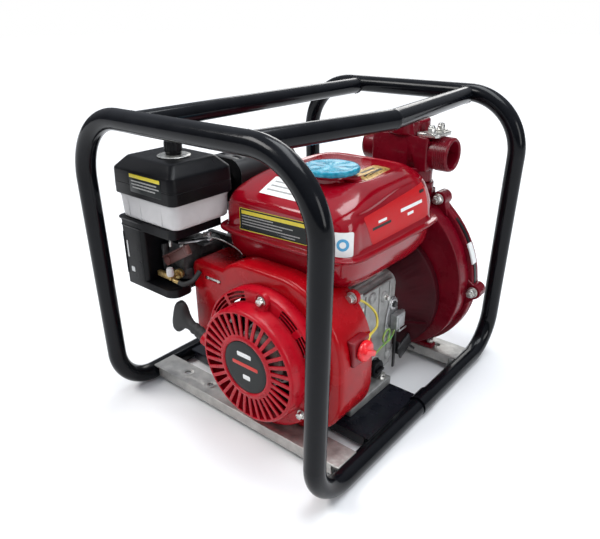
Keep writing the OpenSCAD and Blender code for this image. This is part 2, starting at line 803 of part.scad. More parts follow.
// Hand nut with its bright washer face
module air_cleaner_nut() {
  z = ac_cover_z[1];
  color("#1b1c1f") translate([ac_nut[0], ac_nut[1], 0]) difference() {
    union() {
      translate([0, 0, z + 0.3]) cylinder(d = 46, h = 1.7);
      translate([0, 0, z + 2]) cylinder(d = 22, h = 4);
      translate([0, 0, z + 6]) cylinder(d = 25, h = 16);
    }
    translate([0, 0, z - 1]) cylinder(d = 6 + 2 * running_gap, h = 19.5);
    for (i = [0 : 7]) rotate([0, 0, 45 * i]) translate([13.4, 0, z + 8]) cylinder(d = 4, h = 20);
  }
}

// Moulded duct that carries air from the cleaner down to the carburettor
module intake_duct() {
  duct_z = 180;
  color("#15161a") difference() {
    union() {
      translate([0, 0, duct_z]) linear_extrude(ac_base_z - duct_z) round_rect([-203, -203], [-152, -112], 7);
      translate([0, 0, duct_z]) linear_extrude(12) {
        round_rect([-203, -203], [-95, -161], 16);
        round_rect([-203, -203], [-108, -118], 16);
      }
      translate([0, 0, 272]) linear_extrude(ac_base_z - 272) round_rect([-203, -203], [-84, -108], 10);
      along_x(carb_y, carb_z, -153, -147.5, 40);
    }
    translate([0, 0, duct_z + 4]) linear_extrude(90) round_rect([-200, -200], [-155, -115], 5);
    translate([-172, -150, 270]) cylinder(d = 30, h = 30);
    along_x(carb_y, carb_z, -160, -140, 26);
  }
}

module carburettor() {
  y = carb_y;
  z = carb_z;
  color("#8b8d8c") difference() {
    union() {
      along_x(y, z, -147.5, -130, 34);
      box([-147.5, y - 24, z - 20], [-142, y + 24, z + 20]);
      box([-140, y - 16, z - 16], [-108, y + 16, z + 24]);
      translate([carb_x, y, 196]) cylinder(d = 40, h = 16);
      along_y(carb_x, z, y, -90, 32);
      // spacer that joins the barrel to the head's intake boss
      box([-142, -90, 184], [-87, -82, 244]);
      // plate under the throttle lever
      box([-138, y + 4, z + 22], [-84, -118, z + 25]);
    }
    along_x(y, z, -150, carb_x, 24);
    along_y(carb_x, z, y, -81, 24);
    along_y(-115, 217, -91, -81, 22);
    along_y(-106.5, 208, -91, -81, 22);
    along_y(choke_x, z, y - 30, y - 5, 6 + 2 * running_gap);
    along_y(carb_x, fuel_tap_z, y - 23, y - 9, 5 + 2 * running_gap);
    translate([throttle_pos[0], throttle_pos[1], z]) cylinder(d = 8 + 2 * running_gap, h = 40);
  }
}

module choke_lever() {
  color("#b9bdc0") {
    along_y(choke_x, carb_z, carb_y - 30, carb_y - 6, 6);
    translate([choke_x, carb_y - 30, carb_z]) rotate([0, 50, 0]) translate([-7, 0, -8]) cube([14, 3, 60]);
  }
}

module fuel_tap_lever() {
  color("#b58a3a") {
    along_y(carb_x, fuel_tap_z, carb_y - 21, carb_y - 10, 5);
    along_y(carb_x, fuel_tap_z, carb_y - 34, carb_y - 20.4, 12);
    box([carb_x - 20, carb_y - 38, fuel_tap_z - 4], [carb_x + 6, carb_y - 32, fuel_tap_z + 4]);
  }
}

module throttle_lever() {
  z = carb_z + 25.4;
  color("#c3c6c8") translate([throttle_pos[0], throttle_pos[1], z]) {
    translate([0, 0, -5]) cylinder(d = 8, h = 17);
    cylinder(d = 16, h = 4);
    rotate([0, 0, 238]) translate([0, -5, 0]) cube([44, 10, 3]);
  }
}

module governor_arm() {
  color("#b9bdc0") translate([governor_pos[0], governor_pos[1], 0]) {
    translate([0, 0, 112]) cylinder(d = 6, h = 134);
    translate([0, 0, 244.4]) rotate([0, 0, 200]) translate([0, -4, 0]) cube([28, 8, 2]);
  }
}

// ---------- exhaust and ignition ----------

module muffler() {
  color("#1a1a1c") difference() {
    union() {
      translate([0, muffler_y[1], 0]) rotate([90, 0, 0]) linear_extrude(muffler_y[1] - muffler_y[0])
        round_rect([muffler_x[0], muffler_z[0]], [muffler_x[1], muffler_z[1]], 22);
      // pipe down to the exhaust port
      box([-125, 38, 192], [-91, 62, 224]);
      translate([-108, 52, 208]) cylinder(d = 26, h = muffler_z[0] - 200);
      along_y(-111, 318, muffler_y[1] - 1, muffler_y[1] + 14, 22);
    }
    along_y(-111, 318, muffler_y[1] - 4, muffler_y[1] + 15, 17);
    along_y(-106.5, 208, 37, 47, 22);
  }
}

// Louvred heat guard over the muffler
module muffler_guard() {
  gap = 3;
  t = 1.6;
  // spacers between the guard and the muffler
  color("#121214") for (y = [muffler_y[0] + 20, muffler_y[1] - 32]) {
    box([-131, y, muffler_z[1]], [-121, y + 10, muffler_z[1] + gap + 0.5]);
    box([muffler_x[1], y, 328], [muffler_x[1] + gap + 0.5, y + 10, 338]);
  }
  color("#121214") difference() {
    translate([0, muffler_y[1] - 4, 0]) rotate([90, 0, 0]) linear_extrude(muffler_y[1] - muffler_y[0])
      difference() {
        round_rect([muffler_x[0] - gap - t, muffler_z[0]],
                   [muffler_x[1] + gap + t, muffler_z[1] + gap + t], 24);
        round_rect([muffler_x[0] - gap, muffler_z[0] - 9], [muffler_x[1] + gap, muffler_z[1] + gap], 22);
      }
    for (y = [muffler_y[0] + 8 : 12 : muffler_y[1] - 20]) {
      box([-152, y, muffler_z[1]], [-134, y + 6, muffler_z[1] + 10]);
      box([-118, y, muffler_z[1]], [-100, y + 6, muffler_z[1] + 10]);
      box([muffler_x[1], y, 300], [muffler_x[1] + 10, y + 6, 326]);
    }
  }
}

// Plug cap on the spark plug, with its lead's boot
module spark_plug_lead() {
  color("#17171a") on_cylinder_axis() {
    translate([-84, -14, plug_l]) rotate([0, 90, 0]) cylinder(d = 20, h = 26);
    translate([-80, -14, plug_l]) rotate([90, 0, 0]) cylinder(d = 14, h = 28);
    translate([-58, -14, plug_l]) rotate([0, 90, 0]) cylinder(d = 13.8, h = 30);
  }
}

module stop_switch_body() {
  p = switch_pos;
  color("#8c0f18") difference() {
    box([crank_x + 112, p[1] - 18, p[2] - 20], [p[0] + 3, p[1] + 16, p[2] + 16]);
    plate_y(p[1] - 19, p[1] + 17) shroud_outline(0);
    along_x(p[1], p[2], p[0] - 1, p[0] + 4, 12 + 2 * running_gap);
  }
}

module stop_switch_knob() {
  p = switch_pos;
  color("#e01222") {
    along_x(p[1], p[2], p[0] - 1, p[0] + 4, 12);
    along_x(p[1], p[2], p[0] + 3.5, p[0] + 12, 28);
    box([p[0] + 11, p[1] - 12, p[2] - 3.5], [p[0] + 17, p[1] + 12, p[2] + 3.5]);
  }
}

module switch_wire() { color("#d9c24a") swept_tube(switch_wire_route, wire_d, 8); }

module oil_sensor_wire() { color("#b7b13f") swept_tube(oil_wire_route, wire_d, 8); }

// Square low-oil unit on its bracket at the crankcase side
module low_oil_unit() {
  color("#c9cdd0") {
    box([116, 38, 94], [118.5, 56, 152]);
    box([117.5, 40, 108], [130, 58, 132]);
    along_x(47, 143, 117.5, 123, 12);
    box([117, 52, 95], [120.5, 72, 98]);
  }
}

module oil_filler_caps() {
  color("#1d1e22") for (y = filler_y) {
    along_x(y, filler_z, 106, 122, 21.9);
    along_x(y, filler_z, 122, 130, 28);
  }
}

// Bolts that hold the engine's base to the tray, with their nuts
module engine_bolts() {
  color("silver") for (dx = [-base_hole_dx, base_hole_dx], y = base_hole_y)
    translate([crank_x + dx, y, 0]) {
      translate([0, 0, base_z + base_t]) cylinder(d = 17, h = 1.6);
      translate([0, 0, base_z + base_t + 1.6]) cylinder(d = 13, h = 6, $fn = 6);
      translate([0, 0, 8]) cylinder(d = 8.6, h = base_z + base_t - 6);
      translate([0, 0, 11.5]) cylinder(d = 13, h = 7, $fn = 6);
    }
}

// ---------- pump ----------

// Cone between the engine's cover and the volute, with the pump's back plate
module pump_adapter() {
  color("#5d0d18") difference() {
    union() {
      translate([crank_x, cover_rear_y + 4, crank_z]) rotate([-90, 0, 0])
        cylinder(r1 = adapter_r[0], r2 = adapter_r[0] + 10, h = 24);
      translate([crank_x, cover_rear_y + 28, crank_z]) rotate([-90, 0, 0])
        cylinder(r1 = adapter_r[0] + 10, r2 = adapter_r[1], h = 30);
      along_y(crank_x, crank_z, 115, casing_front_y, 2 * adapter_r[1]);
    }
    // hollow behind the back plate
    translate([crank_x, cover_rear_y + 3, crank_z]) rotate([-90, 0, 0])
      cylinder(r1 = adapter_r[0] - 8, r2 = adapter_r[0] + 2, h = 25.1);
    translate([crank_x, cover_rear_y + 28, crank_z]) rotate([-90, 0, 0])
      cylinder(r1 = adapter_r[0] + 2, r2 = adapter_r[1] - 14, h = 26);
    along_y(crank_x, crank_z, 99, casing_front_y + 1, 34);
  }
}

// Distance of the volute's outer wall from the shaft at angle a, growing towards the outlet
function volute_r(a) = 107 + 0.43 * (a + 90);
function volute_outline(grow) = [for (a = [-90 : 5 : 75]) (volute_r(a) + grow) * [cos(a), sin(a)]];

module casing_outline(grow) {
  polygon(concat([[0, 0]], volute_outline(grow)));
  circle(r = 112 + grow, $fn = 96);
  translate([outlet_x - crank_x - 34 - grow, 60]) square([68 + 2 * grow, 112]);
}

module on_casing(y0, y1) {
  translate([crank_x, y1, crank_z]) rotate([90, 0, 0]) linear_extrude(y1 - y0) children();
}

function ear_r(a) = a < 80 ? volute_r(a) + 2 : 117;

module ears(y0, y1, d) {
  for (a = ear_angles) on_casing(y0, y1) translate(ear_r(a) * [cos(a), sin(a)]) circle(d = d);
}

module volute_casing() {
  flange_y = casing_split_y - 11;
  wall = 7;
  body_in = 8;
  color("#7c101d") difference() {
    union() {
      on_casing(casing_front_y, casing_split_y) intersection() {
        casing_outline(-body_in);
        translate([-200, -100]) square([400, 400]);
      }
      on_casing(flange_y, casing_split_y) intersection() {
        casing_outline(0);
        translate([-200, -100]) square([400, 260]);
      }
      ears(casing_split_y - 14, casing_split_y, 24);
      // throat up to the manifold
      translate([outlet_x, port_y - 6, 285]) cylinder(d = 54, h = 26);
      // foot on the rear member
      box([crank_x - 45, 134, member_top_z], [crank_x + 45, casing_split_y, 60]);
      box([crank_x - 75, 140, member_top_z], [crank_x + 96, 155.5, member_top_z + 8]);
    }
    on_casing(casing_front_y + 8, casing_split_y + 1) intersection() {
      casing_outline(-body_in - wall);
      translate([-200, -94]) square([400, 250]);
    }
    along_y(crank_x, crank_z, casing_front_y - 1, casing_front_y + 9, 60);
    translate([outlet_x, port_y - 6, 250]) cylinder(d = 40, h = 90);
    for (a = ear_angles) on_casing(casing_split_y - 30, casing_split_y + 1)
      translate(ear_r(a) * [cos(a), sin(a)]) circle(d = 9);
    for (x = pump_foot_x) translate([x, pump_foot_y, 0]) cylinder(d = 9, h = 60);
  }
}

module rear_casing_cover() {
  back = casing_split_y + 8;
  hub_l = 28;
  color("#7c101d") difference() {
    union() {
      on_casing(casing_split_y, back) intersection() {
        casing_outline(0);
        translate([-200, -97]) square([400, 253]);
      }
      ears(casing_split_y, back, 24);
      translate([crank_x, back, crank_z]) rotate([-90, 0, 0]) cylinder(r1 = 84, r2 = 40, h = hub_l);
      along_y(crank_x, crank_z, back, suction_y - 10, port_d + 6);
      along_y(crank_x, crank_z, suction_y - 12, suction_y, 84);
    }
    translate([crank_x, casing_split_y - 0.5, crank_z]) rotate([-90, 0, 0])
      cylinder(r1 = 80, r2 = 30, h = hub_l);
    along_y(crank_x, crank_z, casing_split_y - 1, suction_y + 1, port_bore_d);
    for (a = ear_angles) on_casing(casing_split_y - 1, back + 1)
      translate(ear_r(a) * [cos(a), sin(a)]) circle(d = 9);
  }
  // pin that the check valve's flap hangs on
  color("#7c101d") along_x(flap_y + 2, crank_z + flap_pivot_dz, crank_x - 14, crank_x + 14, flap_pin_d);
}

module impeller() {
  vanes = 6;
  front_y = 141;
  color("#b08a3c") difference() {
    union() {
      along_y(crank_x, crank_z, front_y, front_y + 4, impeller_d);
      along_y(crank_x, crank_z, front_y - 4, front_y + 18, 34);
      for (i = [0 : vanes - 1]) at_crank() rotate([0, 360 * i / vanes, 0]) difference() {
        translate([38, 0, 0]) translate([0, front_y + 3, 0]) rotate([-90, 0, 0]) difference() {
          cylinder(d = 92, h = 15);
          translate([0, 0, -1]) cylinder(d = 85, h = 17);
        }
        translate([-200, front_y, -200]) cube([400, 30, 200]);
        translate([0, front_y, 0]) rotate([-90, 0, 0]) difference() {
          translate([0, 0, -1]) cylinder(d = 400, h = 30);
          translate([0, 0, -2]) cylinder(d = impeller_d - 1, h = 32);
        }
      }
    }
    along_y(crank_x, crank_z, front_y - 5, front_y + 30, 16);
  }
}

module shaft_seal() {
  color("#3a3b3e") difference() {
    along_y(crank_x, crank_z, 118, 134, 33.8);
    along_y(crank_x, crank_z, 117, 135, 26);
  }
}

// Hinged flap that holds the prime in the suction port
module check_valve_flap() {
  z = crank_z + flap_pivot_dz;
  color("#25262a") difference() {
    union() {
      along_y(crank_x, crank_z, flap_y, flap_y + 4, 36);
      along_x(flap_y + 2, z, crank_x - 4, crank_x + 4, 5.6);
    }
    along_x(flap_y + 2, z, crank_x - 30, crank_x + 30, flap_pin_d + 2 * running_gap);
  }
}

module discharge_manifold() {
  z0 = manifold_z - manifold_half_h;
  z1 = manifold_z + manifold_half_h;
  top_port_z = 404;
  centre_x = (manifold_x[0] + manifold_x[1]) / 2;
  color("#7c101d") difference() {
    union() {
      box([manifold_x[0], manifold_y[0], z0], [manifold_x[1], manifold_y[1], z1]);
      along_x(port_y, manifold_z, port_left_x, manifold_x[0] + 5, left_port_d);
      along_x(port_y, manifold_z, manifold_x[1] - 5, port_right_x, port_d);
      translate([centre_x, port_y, z1]) cylinder(d = 66, h = top_port_z - z1);
      translate([outlet_x, port_y - 6, 311]) cylinder(d = 48, h = z0 - 306);
    }
    along_x(port_y, manifold_z, port_left_x - 1, port_right_x + 1, port_bore_d);
    translate([centre_x, port_y, manifold_z]) cylinder(d = 46, h = 60);
    translate([outlet_x, port_y - 6, 300]) cylinder(d = 36, h = 52);
  }
}

// Bright two-bolt clamp that holds the top port's collar
module outlet_clamp() {
  z = manifold_z + manifold_half_h;
  color("#c9ccd0") difference() {
    union() {
      translate([0, 0, z]) linear_extrude(6) round_rect([86, 132], [124, 180], 8);
      for (y = [141, 171]) translate([108, y, z + 6]) cylinder(d = 13, h = 8, $fn = 6);
    }
    translate([(manifold_x[0] + manifold_x[1]) / 2, port_y, z - 1]) cylinder(d = 66.2, h = 20);
  }
}

module pump_fasteners() {
  color("silver") for (a = ear_angles)
    translate([crank_x + ear_r(a) * cos(a), 0, crank_z + ear_r(a) * sin(a)]) {
      along_y(0, 0, casing_split_y - 28, casing_split_y + 18, 8.6);
      along_y(0, 0, casing_split_y - 16, casing_split_y - 14, 17);
      translate([0, casing_split_y - 16, 0]) rotate([90, 0, 0]) cylinder(d = 14, h = 8, $fn = 6);
      translate([0, casing_split_y + 8, 0]) rotate([-90, 0, 0]) cylinder(d = 14, h = 6, $fn = 6);
    }
  color("silver") for (x = pump_foot_x) translate([x, pump_foot_y, 0]) {
    translate([0, 0, member_top_z + 8]) cylinder(d = 12, h = 6, $fn = 6);
    translate([0, 0, 12]) cylinder(d = 8.6, h = 26);
    translate([0, 0, member_top_z - sheet_t - 7]) cylinder(d = 12, h = 7, $fn = 6);
  }
}

front_hoop();
rear_hoop();
top_rail_left();
top_rail_right();
front_cross_member();
rear_cross_member();
engine_tray();
crankcase();
pto_cover();
cylinder_head();
rocker_cover();
crankshaft();
main_bearings();
piston();
piston_pin();
flywheel();
cooling_fan();
starter_cup();
fan_shroud();
recoil_cover();
recoil_badge();
rope_reel();
wound_rope();
starter_rope();
starter_grip();
shroud_bolts();
tank_lower_shell();
tank_upper_shell();
fuel_cap();
fuel_strainer();
air_cleaner_cover();
air_cleaner_base();
filter_element();
air_cleaner_nut();
intake_duct();
carburettor();
choke_lever();
fuel_tap_lever();
throttle_lever();
governor_arm();
muffler();
muffler_guard();
spark_plug_lead();
stop_switch_body();
stop_switch_knob();
switch_wire();
oil_sensor_wire();
low_oil_unit();
oil_filler_caps();
engine_bolts();
pump_adapter();
volute_casing();
rear_casing_cover();
impeller();
shaft_seal();
check_valve_flap();
discharge_manifold();
outlet_clamp();
pump_fasteners();
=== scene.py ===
"""Looks of the portable fire pump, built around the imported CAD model."""

import json
from math import cos, degrees, pi, radians, sin

import bmesh
import bpy
from mathutils import Matrix, Vector
from mathutils.bvhtree import BVHTree


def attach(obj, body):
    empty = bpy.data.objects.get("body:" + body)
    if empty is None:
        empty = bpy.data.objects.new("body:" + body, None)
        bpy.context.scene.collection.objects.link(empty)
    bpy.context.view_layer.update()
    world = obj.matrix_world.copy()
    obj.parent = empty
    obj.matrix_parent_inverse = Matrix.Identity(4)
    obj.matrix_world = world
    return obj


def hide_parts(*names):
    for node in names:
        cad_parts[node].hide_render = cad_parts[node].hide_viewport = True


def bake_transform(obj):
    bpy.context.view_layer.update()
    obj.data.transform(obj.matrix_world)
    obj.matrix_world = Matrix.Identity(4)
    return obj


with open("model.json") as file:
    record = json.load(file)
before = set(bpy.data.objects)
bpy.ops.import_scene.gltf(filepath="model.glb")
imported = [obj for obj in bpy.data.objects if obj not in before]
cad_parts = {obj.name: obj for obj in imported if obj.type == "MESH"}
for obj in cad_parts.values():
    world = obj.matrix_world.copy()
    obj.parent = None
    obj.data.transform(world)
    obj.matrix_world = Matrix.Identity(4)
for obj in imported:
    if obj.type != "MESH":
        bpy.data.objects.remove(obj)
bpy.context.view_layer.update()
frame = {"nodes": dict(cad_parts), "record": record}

NODES = frame["nodes"]
BODY_OF = {n: b for b, ns in frame["record"]["behaviour"]["bodies"].items() for n in ns}
SLOTS = {s["node"]: s["material_slot"] for s in frame["record"]["subparts"]}

# ---------- camera, floor and light ----------


def new_node(tree, kind, **values):
    """A shader node with some of its inputs set. An underscore stands for a space in an input's name."""
    node = tree.nodes.new("ShaderNode" + kind)
    for name, value in values.items():
        node.inputs[name.replace("_", " ")].default_value = value
    return node


def join(source, out, target, into):
    source.id_data.links.new(source.outputs[out], target.inputs[into])


def look_from(place, azimuth, elevation, roll):
    """World matrix of a camera that looks along azimuth (0 is +Y, 90 is -X) and down by elevation."""
    a, e, r = radians(azimuth), radians(elevation), radians(roll)
    ahead = Vector((-sin(a) * cos(e), cos(a) * cos(e), -sin(e)))
    level = Vector((cos(a), sin(a), 0))
    over = level.cross(ahead)
    right = level * cos(r) + over * sin(r)
    up = over * cos(r) - level * sin(r)
    m = Matrix((right, up, -ahead)).transposed().to_4x4()
    m.translation = Vector(place)
    return m


def new_object(name, data):
    obj = bpy.data.objects.new(name, data)
    bpy.context.scene.collection.objects.link(obj)
    return obj


def area_light(name, place, target, size, watts, tint=(1, 1, 1)):
    data = bpy.data.lights.new(name, "AREA")
    data.shape, data.size, data.size_y = "RECTANGLE", size[0], size[1]
    data.energy, data.color = watts, tint
    light = new_object(name, data)
    light.location = Vector(place)
    light.rotation_euler = (Vector(target) - light.location).to_track_quat("-Z", "Y").to_euler()


def set_stage():
    data = bpy.data.cameras.new("camera")
    data.sensor_width = 36.0
    data.lens = 34.84
    camera = new_object("camera", data)
    camera.matrix_world = look_from((0.51434, -0.65144, 0.55545), 39.90, 24.07, -0.41)
    bpy.context.scene.camera = camera

    world = bpy.data.worlds.new("studio")
    bpy.context.scene.world = world
    world.use_nodes = True
    tree = world.node_tree
    seen = tree.nodes["Background"]
    seen.inputs["Color"].default_value = (1, 1, 1, 1)
    lit = new_node(tree, "Background", Strength=0.8)
    height = new_node(tree, "SeparateXYZ")
    join(new_node(tree, "TexCoord"), "Generated", height, "Vector")
    sky = new_node(tree, "ValToRGB")
    low, high = sky.color_ramp.elements
    low.position, low.color = 0.0, (0.10, 0.10, 0.105, 1)
    high.position, high.color = 0.9, (0.85, 0.90, 1.0, 1)
    join(height, "Z", sky, "Fac")
    join(sky, "Color", lit, "Color")
    pick = new_node(tree, "MixShader")
    join(new_node(tree, "LightPath"), "Is Camera Ray", pick, "Fac")
    join(lit, "Background", pick, 1)
    join(seen, "Background", pick, 2)
    join(pick, "Shader", tree.nodes["World Output"], "Surface")

    area_light("key", (-1.1, -1.5, 2.2), (0, 0, 0.2), (1.3, 0.8), 42, (1, 0.985, 0.96))
    area_light("sky", (0.25, 0.35, 2.4), (0, 0, 0.2), (2.0, 1.0), 46, (0.93, 0.97, 1))
    area_light("side", (2.3, -0.2, 1.1), (0, 0, 0.2), (0.7, 1.2), 15)
    area_light("rear", (-1.2, 2.2, 1.3), (0, 0, 0.25), (1.6, 0.8), 14, (1, 0.99, 0.97))

    side = 14.0
    corners = [(-side, -side, 0), (side, -side, 0), (side, side, 0), (-side, side, 0)]
    floor_mesh = bpy.data.meshes.new("floor")
    floor_mesh.from_pydata(corners, [], [(0, 1, 2, 3)])
    floor_mesh.materials.append(FLOOR)
    floor = new_object("floor", floor_mesh)
    # the floor glows more with distance, so that it ends in the pale background
    tree = FLOOR.node_tree
    reach = new_node(tree, "VectorMath")
    reach.operation = "LENGTH"
    join(new_node(tree, "TexCoord"), "Object", reach, 0)
    lift = new_node(tree, "MapRange", From_Min=1.1, From_Max=4.0, To_Max=0.62)
    join(reach, "Value", lift, "Value")
    paper = tree.nodes["Principled BSDF"]
    join(lift, "Result", paper, "Emission Strength")
    paper.inputs["Emission Color"].default_value = (1, 1, 1, 1)
    bpy.context.scene.view_settings.view_transform = "Standard"


# ---------- materials ----------


def material(name, color, rough, metal, tone, tone_size, grain, grain_depth, more=None):
    """A surface whose colour drifts over tone_size metres, with a grain of grain metres in its height."""
    more = more or {}
    m = bpy.data.materials.new(name)
    m.use_nodes = True
    tree = m.node_tree
    bsdf = tree.nodes["Principled BSDF"]
    place = new_node(tree, "TexCoord")

    drift = new_node(tree, "TexNoise", Scale=1 / tone_size, Detail=5, Roughness=0.6)
    join(place, "Object", drift, "Vector")
    ramp = new_node(tree, "ValToRGB")
    low, high = ramp.color_ramp.elements
    low.position, low.color = 0.3, (*(c * (1 - tone) for c in color), 1)
    second = more.get("second", [min(1, c * (1 + tone)) for c in color])
    high.position, high.color = 0.72, (*second, 1)
    join(drift, "Fac", ramp, "Fac")
    join(ramp, "Color", bsdf, "Base Color")

    kind = more.get("kind", "noise")
    if kind == "spangle":
        fine = new_node(tree, "TexVoronoi", Scale=1 / grain)
        join(place, "Object", fine, "Vector")
    elif kind == "brushed":
        stretch = new_node(tree, "Mapping", Scale=(1, 0.06, 1))
        join(place, "Object", stretch, "Vector")
        fine = new_node(tree, "TexNoise", Scale=1 / grain, Detail=4)
        join(stretch, "Vector", fine, "Vector")
    else:
        fine = new_node(tree, "TexNoise", Scale=1 / grain, Detail=6, Roughness=0.65)
        join(place, "Object", fine, "Vector")

    rough_var = more.get("rough_var", 0.08)
    shine = new_node(tree, "MapRange", From_Min=0.3, From_Max=0.7, To_Min=max(0.02, rough - rough_var),
            To_Max=min(1, rough + rough_var))
    join(drift, "Fac", shine, "Value")
    join(shine, "Result", bsdf, "Roughness")
    bump = new_node(tree, "Bump", Strength=grain_depth, Distance=grain * 0.6)
    join(fine, "Distance" if kind == "spangle" else "Fac", bump, "Height")
    join(bump, "Normal", bsdf, "Normal")
    bsdf.inputs["Metallic"].default_value = metal
    bsdf.inputs["Specular IOR Level"].default_value = more.get("spec", 0.5)
    if "coat" in more:
        bsdf.inputs["Coat Weight"].default_value = more["coat"]
        bsdf.inputs["Coat Roughness"].default_value = 0.06
    return m


FLOOR = material("floor_paper", (0.86, 0.86, 0.86), 0.75, 0, 0.015, 0.4, 0.002, 0.03)

# colour, roughness, metal, tone and its size, grain and its depth, and what else isn't plain
LOOKS = {
    "frame_black": ((0.003, 0.0035, 0.005), 0.19, 0, 0.3, 0.03, 0.004, 0.04,
                    dict(rough_var=0.06, coat=0.12, spec=0.12)),
    "galvanised": ((0.42, 0.41, 0.39), 0.42, 0.75, 0.22, 0.02, 0.006, 0.12,
                   dict(kind="spangle", second=(0.56, 0.55, 0.52))),
    "tray_black": ((0.007, 0.008, 0.012), 0.24, 0, 0.3, 0.05, 0.004, 0.05, dict(spec=0.25)),
    "cast_grey": ((0.30, 0.30, 0.29), 0.5, 0.55, 0.22, 0.014, 0.0011, 0.5,
                  dict(rough_var=0.1, second=(0.42, 0.42, 0.41))),
    "enamel_black": ((0.012, 0.012, 0.013), 0.4, 0, 0.3, 0.05, 0.0012, 0.2),
    "steel": ((0.42, 0.42, 0.42), 0.33, 0.9, 0.18, 0.012, 0.0007, 0.2,
              dict(kind="brushed", second=(0.55, 0.55, 0.56))),
    "cast_iron": ((0.20, 0.17, 0.15), 0.5, 0.6, 0.3, 0.01, 0.001, 0.4, dict(second=(0.33, 0.29, 0.26))),
    "black_plastic": ((0.004, 0.004, 0.005), 0.33, 0, 0.25, 0.03, 0.0009, 0.22,
                      dict(rough_var=0.06, spec=0.15)),
    "engine_red": ((0.33, 0.001, 0.005), 0.25, 0, 0.16, 0.04, 0.003, 0.04, dict(coat=0.12, spec=0.18)),
    "starter_red": ((0.38, 0.002, 0.011), 0.3, 0, 0.16, 0.02, 0.002, 0.06, dict(coat=0.08, spec=0.2)),
    "badge_black": ((0.006, 0.009, 0.009), 0.38, 0, 0.2, 0.05, 0.001, 0.06, dict(spec=0.25)),
    "rope": ((0.55, 0.53, 0.48), 0.8, 0, 0.2, 0.004, 0.0012, 0.7),
    "bright_bolts": ((0.50, 0.50, 0.49), 0.3, 0.85, 0.2, 0.006, 0.0006, 0.2,
                     dict(second=(0.68, 0.67, 0.62))),
    "tank_crimson": ((0.25, 0.001, 0.008), 0.15, 0, 0.14, 0.06, 0.006, 0.03,
                     dict(rough_var=0.04, coat=0.45, spec=0.2)),
    "cap_blue": ((0.0, 0.20, 0.34), 0.24, 0, 0.3, 0.012, 0.004, 0.3,
                 dict(second=(0.01, 0.34, 0.48), coat=0.35, spec=0.3)),
    "white_plastic": ((0.50, 0.49, 0.49), 0.42, 0, 0.1, 0.04, 0.001, 0.1),
    "filter_paper": ((0.70, 0.58, 0.30), 0.85, 0, 0.15, 0.01, 0.001, 0.3),
    "die_cast": ((0.36, 0.37, 0.37), 0.42, 0.7, 0.22, 0.008, 0.0008, 0.35, dict(second=(0.48, 0.49, 0.49))),
    "brass_part": ((0.42, 0.28, 0.10), 0.38, 0.85, 0.3, 0.008, 0.0008, 0.25,
                   dict(second=(0.56, 0.40, 0.17))),
    "rubber_black": ((0.012, 0.012, 0.012), 0.62, 0, 0.2, 0.05, 0.0008, 0.2),
    "switch_red": ((0.20, 0.004, 0.010), 0.42, 0, 0.2, 0.01, 0.001, 0.15),
    "knob_red": ((0.72, 0.006, 0.014), 0.34, 0, 0.16, 0.01, 0.001, 0.08, dict(coat=0.2)),
    "wire_yellow": ((0.62, 0.50, 0.06), 0.4, 0, 0.14, 0.006, 0.0008, 0.08),
    "wire_green": ((0.42, 0.48, 0.06), 0.4, 0, 0.2, 0.01, 0.0008, 0.08, dict(second=(0.07, 0.36, 0.14))),
    # the pump's maroon paint darkened with painted shade, standing in for the shadow in the adapter's cone
    "pump_maroon_painted_shade": ((0.038, 0.001, 0.004), 0.5, 0, 0.25, 0.03, 0.0022, 0.12, dict(spec=0.12)),
    "pump_maroon": ((0.135, 0.001, 0.008), 0.28, 0, 0.2, 0.03, 0.0022, 0.1,
                    dict(rough_var=0.07, coat=0.12, spec=0.18)),
    "notice_yellow": ((0.66, 0.54, 0.03), 0.4, 0, 0.06, 0.01, 0.0007, 0.03),
    "notice_grey": ((0.30, 0.30, 0.29), 0.5, 0, 0.6, 0.0016, 0.0006, 0.03),
    "panel_red": ((0.46, 0.007, 0.010), 0.4, 0, 0.06, 0.02, 0.0012, 0.03, dict(spec=0.2)),
    "label_white": ((0.74, 0.75, 0.74), 0.42, 0, 0.05, 0.01, 0.0009, 0.04),
    "ring_blue": ((0.06, 0.30, 0.52), 0.4, 0, 0.08, 0.01, 0.0009, 0.03),
    "label_gold": ((0.48, 0.30, 0.08), 0.3, 0.5, 0.25, 0.006, 0.0008, 0.08),
    "badge_red": ((0.55, 0.03, 0.02), 0.4, 0, 0.08, 0.01, 0.0009, 0.03),
    "choke_brown": ((0.10, 0.035, 0.03), 0.38, 0.3, 0.25, 0.012, 0.0009, 0.15),
    # die-cast metal darkened with painted shade, standing in for the shadow over the carburettor
    "die_cast_painted_shade": ((0.045, 0.046, 0.048), 0.46, 0.6, 0.3, 0.008, 0.0008, 0.35,
                  dict(second=(0.10, 0.10, 0.10), spec=0.3)),
}
FINISH = {name: material(name, *look) for name, look in LOOKS.items()}

# ---------- mesh tools: lengths below are in millimetres ----------

MM = 0.001
CRANK = Vector((46, 0, 128))
# where the starter's rope leaves its housing, and the way it leaves
ROPE_EXIT = Vector((-40, -188, 128))
ROPE_WAY = Vector((-cos(radians(16)), 0, sin(radians(16))))


def piece(name, bm, slot, body="base", node=None, smooth=35):
    """A named object from a mesh in millimetres, which may ride on a body and stand for a CAD node."""
    bmesh.ops.recalc_face_normals(bm, faces=bm.faces)
    bm.transform(Matrix.Scale(MM, 4))
    mesh = bpy.data.meshes.new(name)
    bm.to_mesh(mesh)
    bm.free()
    mesh.polygons.foreach_set("use_smooth", [True] * len(mesh.polygons))
    mesh.set_sharp_from_angle(angle=radians(smooth))
    obj = new_object(name, mesh)
    mesh.materials.append(FINISH[slot])
    if body:
        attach(obj, body)
    if node:
        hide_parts(node)
    return obj


def cad_mesh(node):
    """A node's mesh in millimetres, with its corners joined and its flat faces whole."""
    bm = bmesh.new()
    bm.from_mesh(NODES[node].data)
    bm.transform(Matrix.Scale(1 / MM, 4))
    bmesh.ops.remove_doubles(bm, verts=bm.verts, dist=0.002)
    bmesh.ops.dissolve_limit(bm, angle_limit=radians(0.6), verts=bm.verts, edges=bm.edges)
    return bm


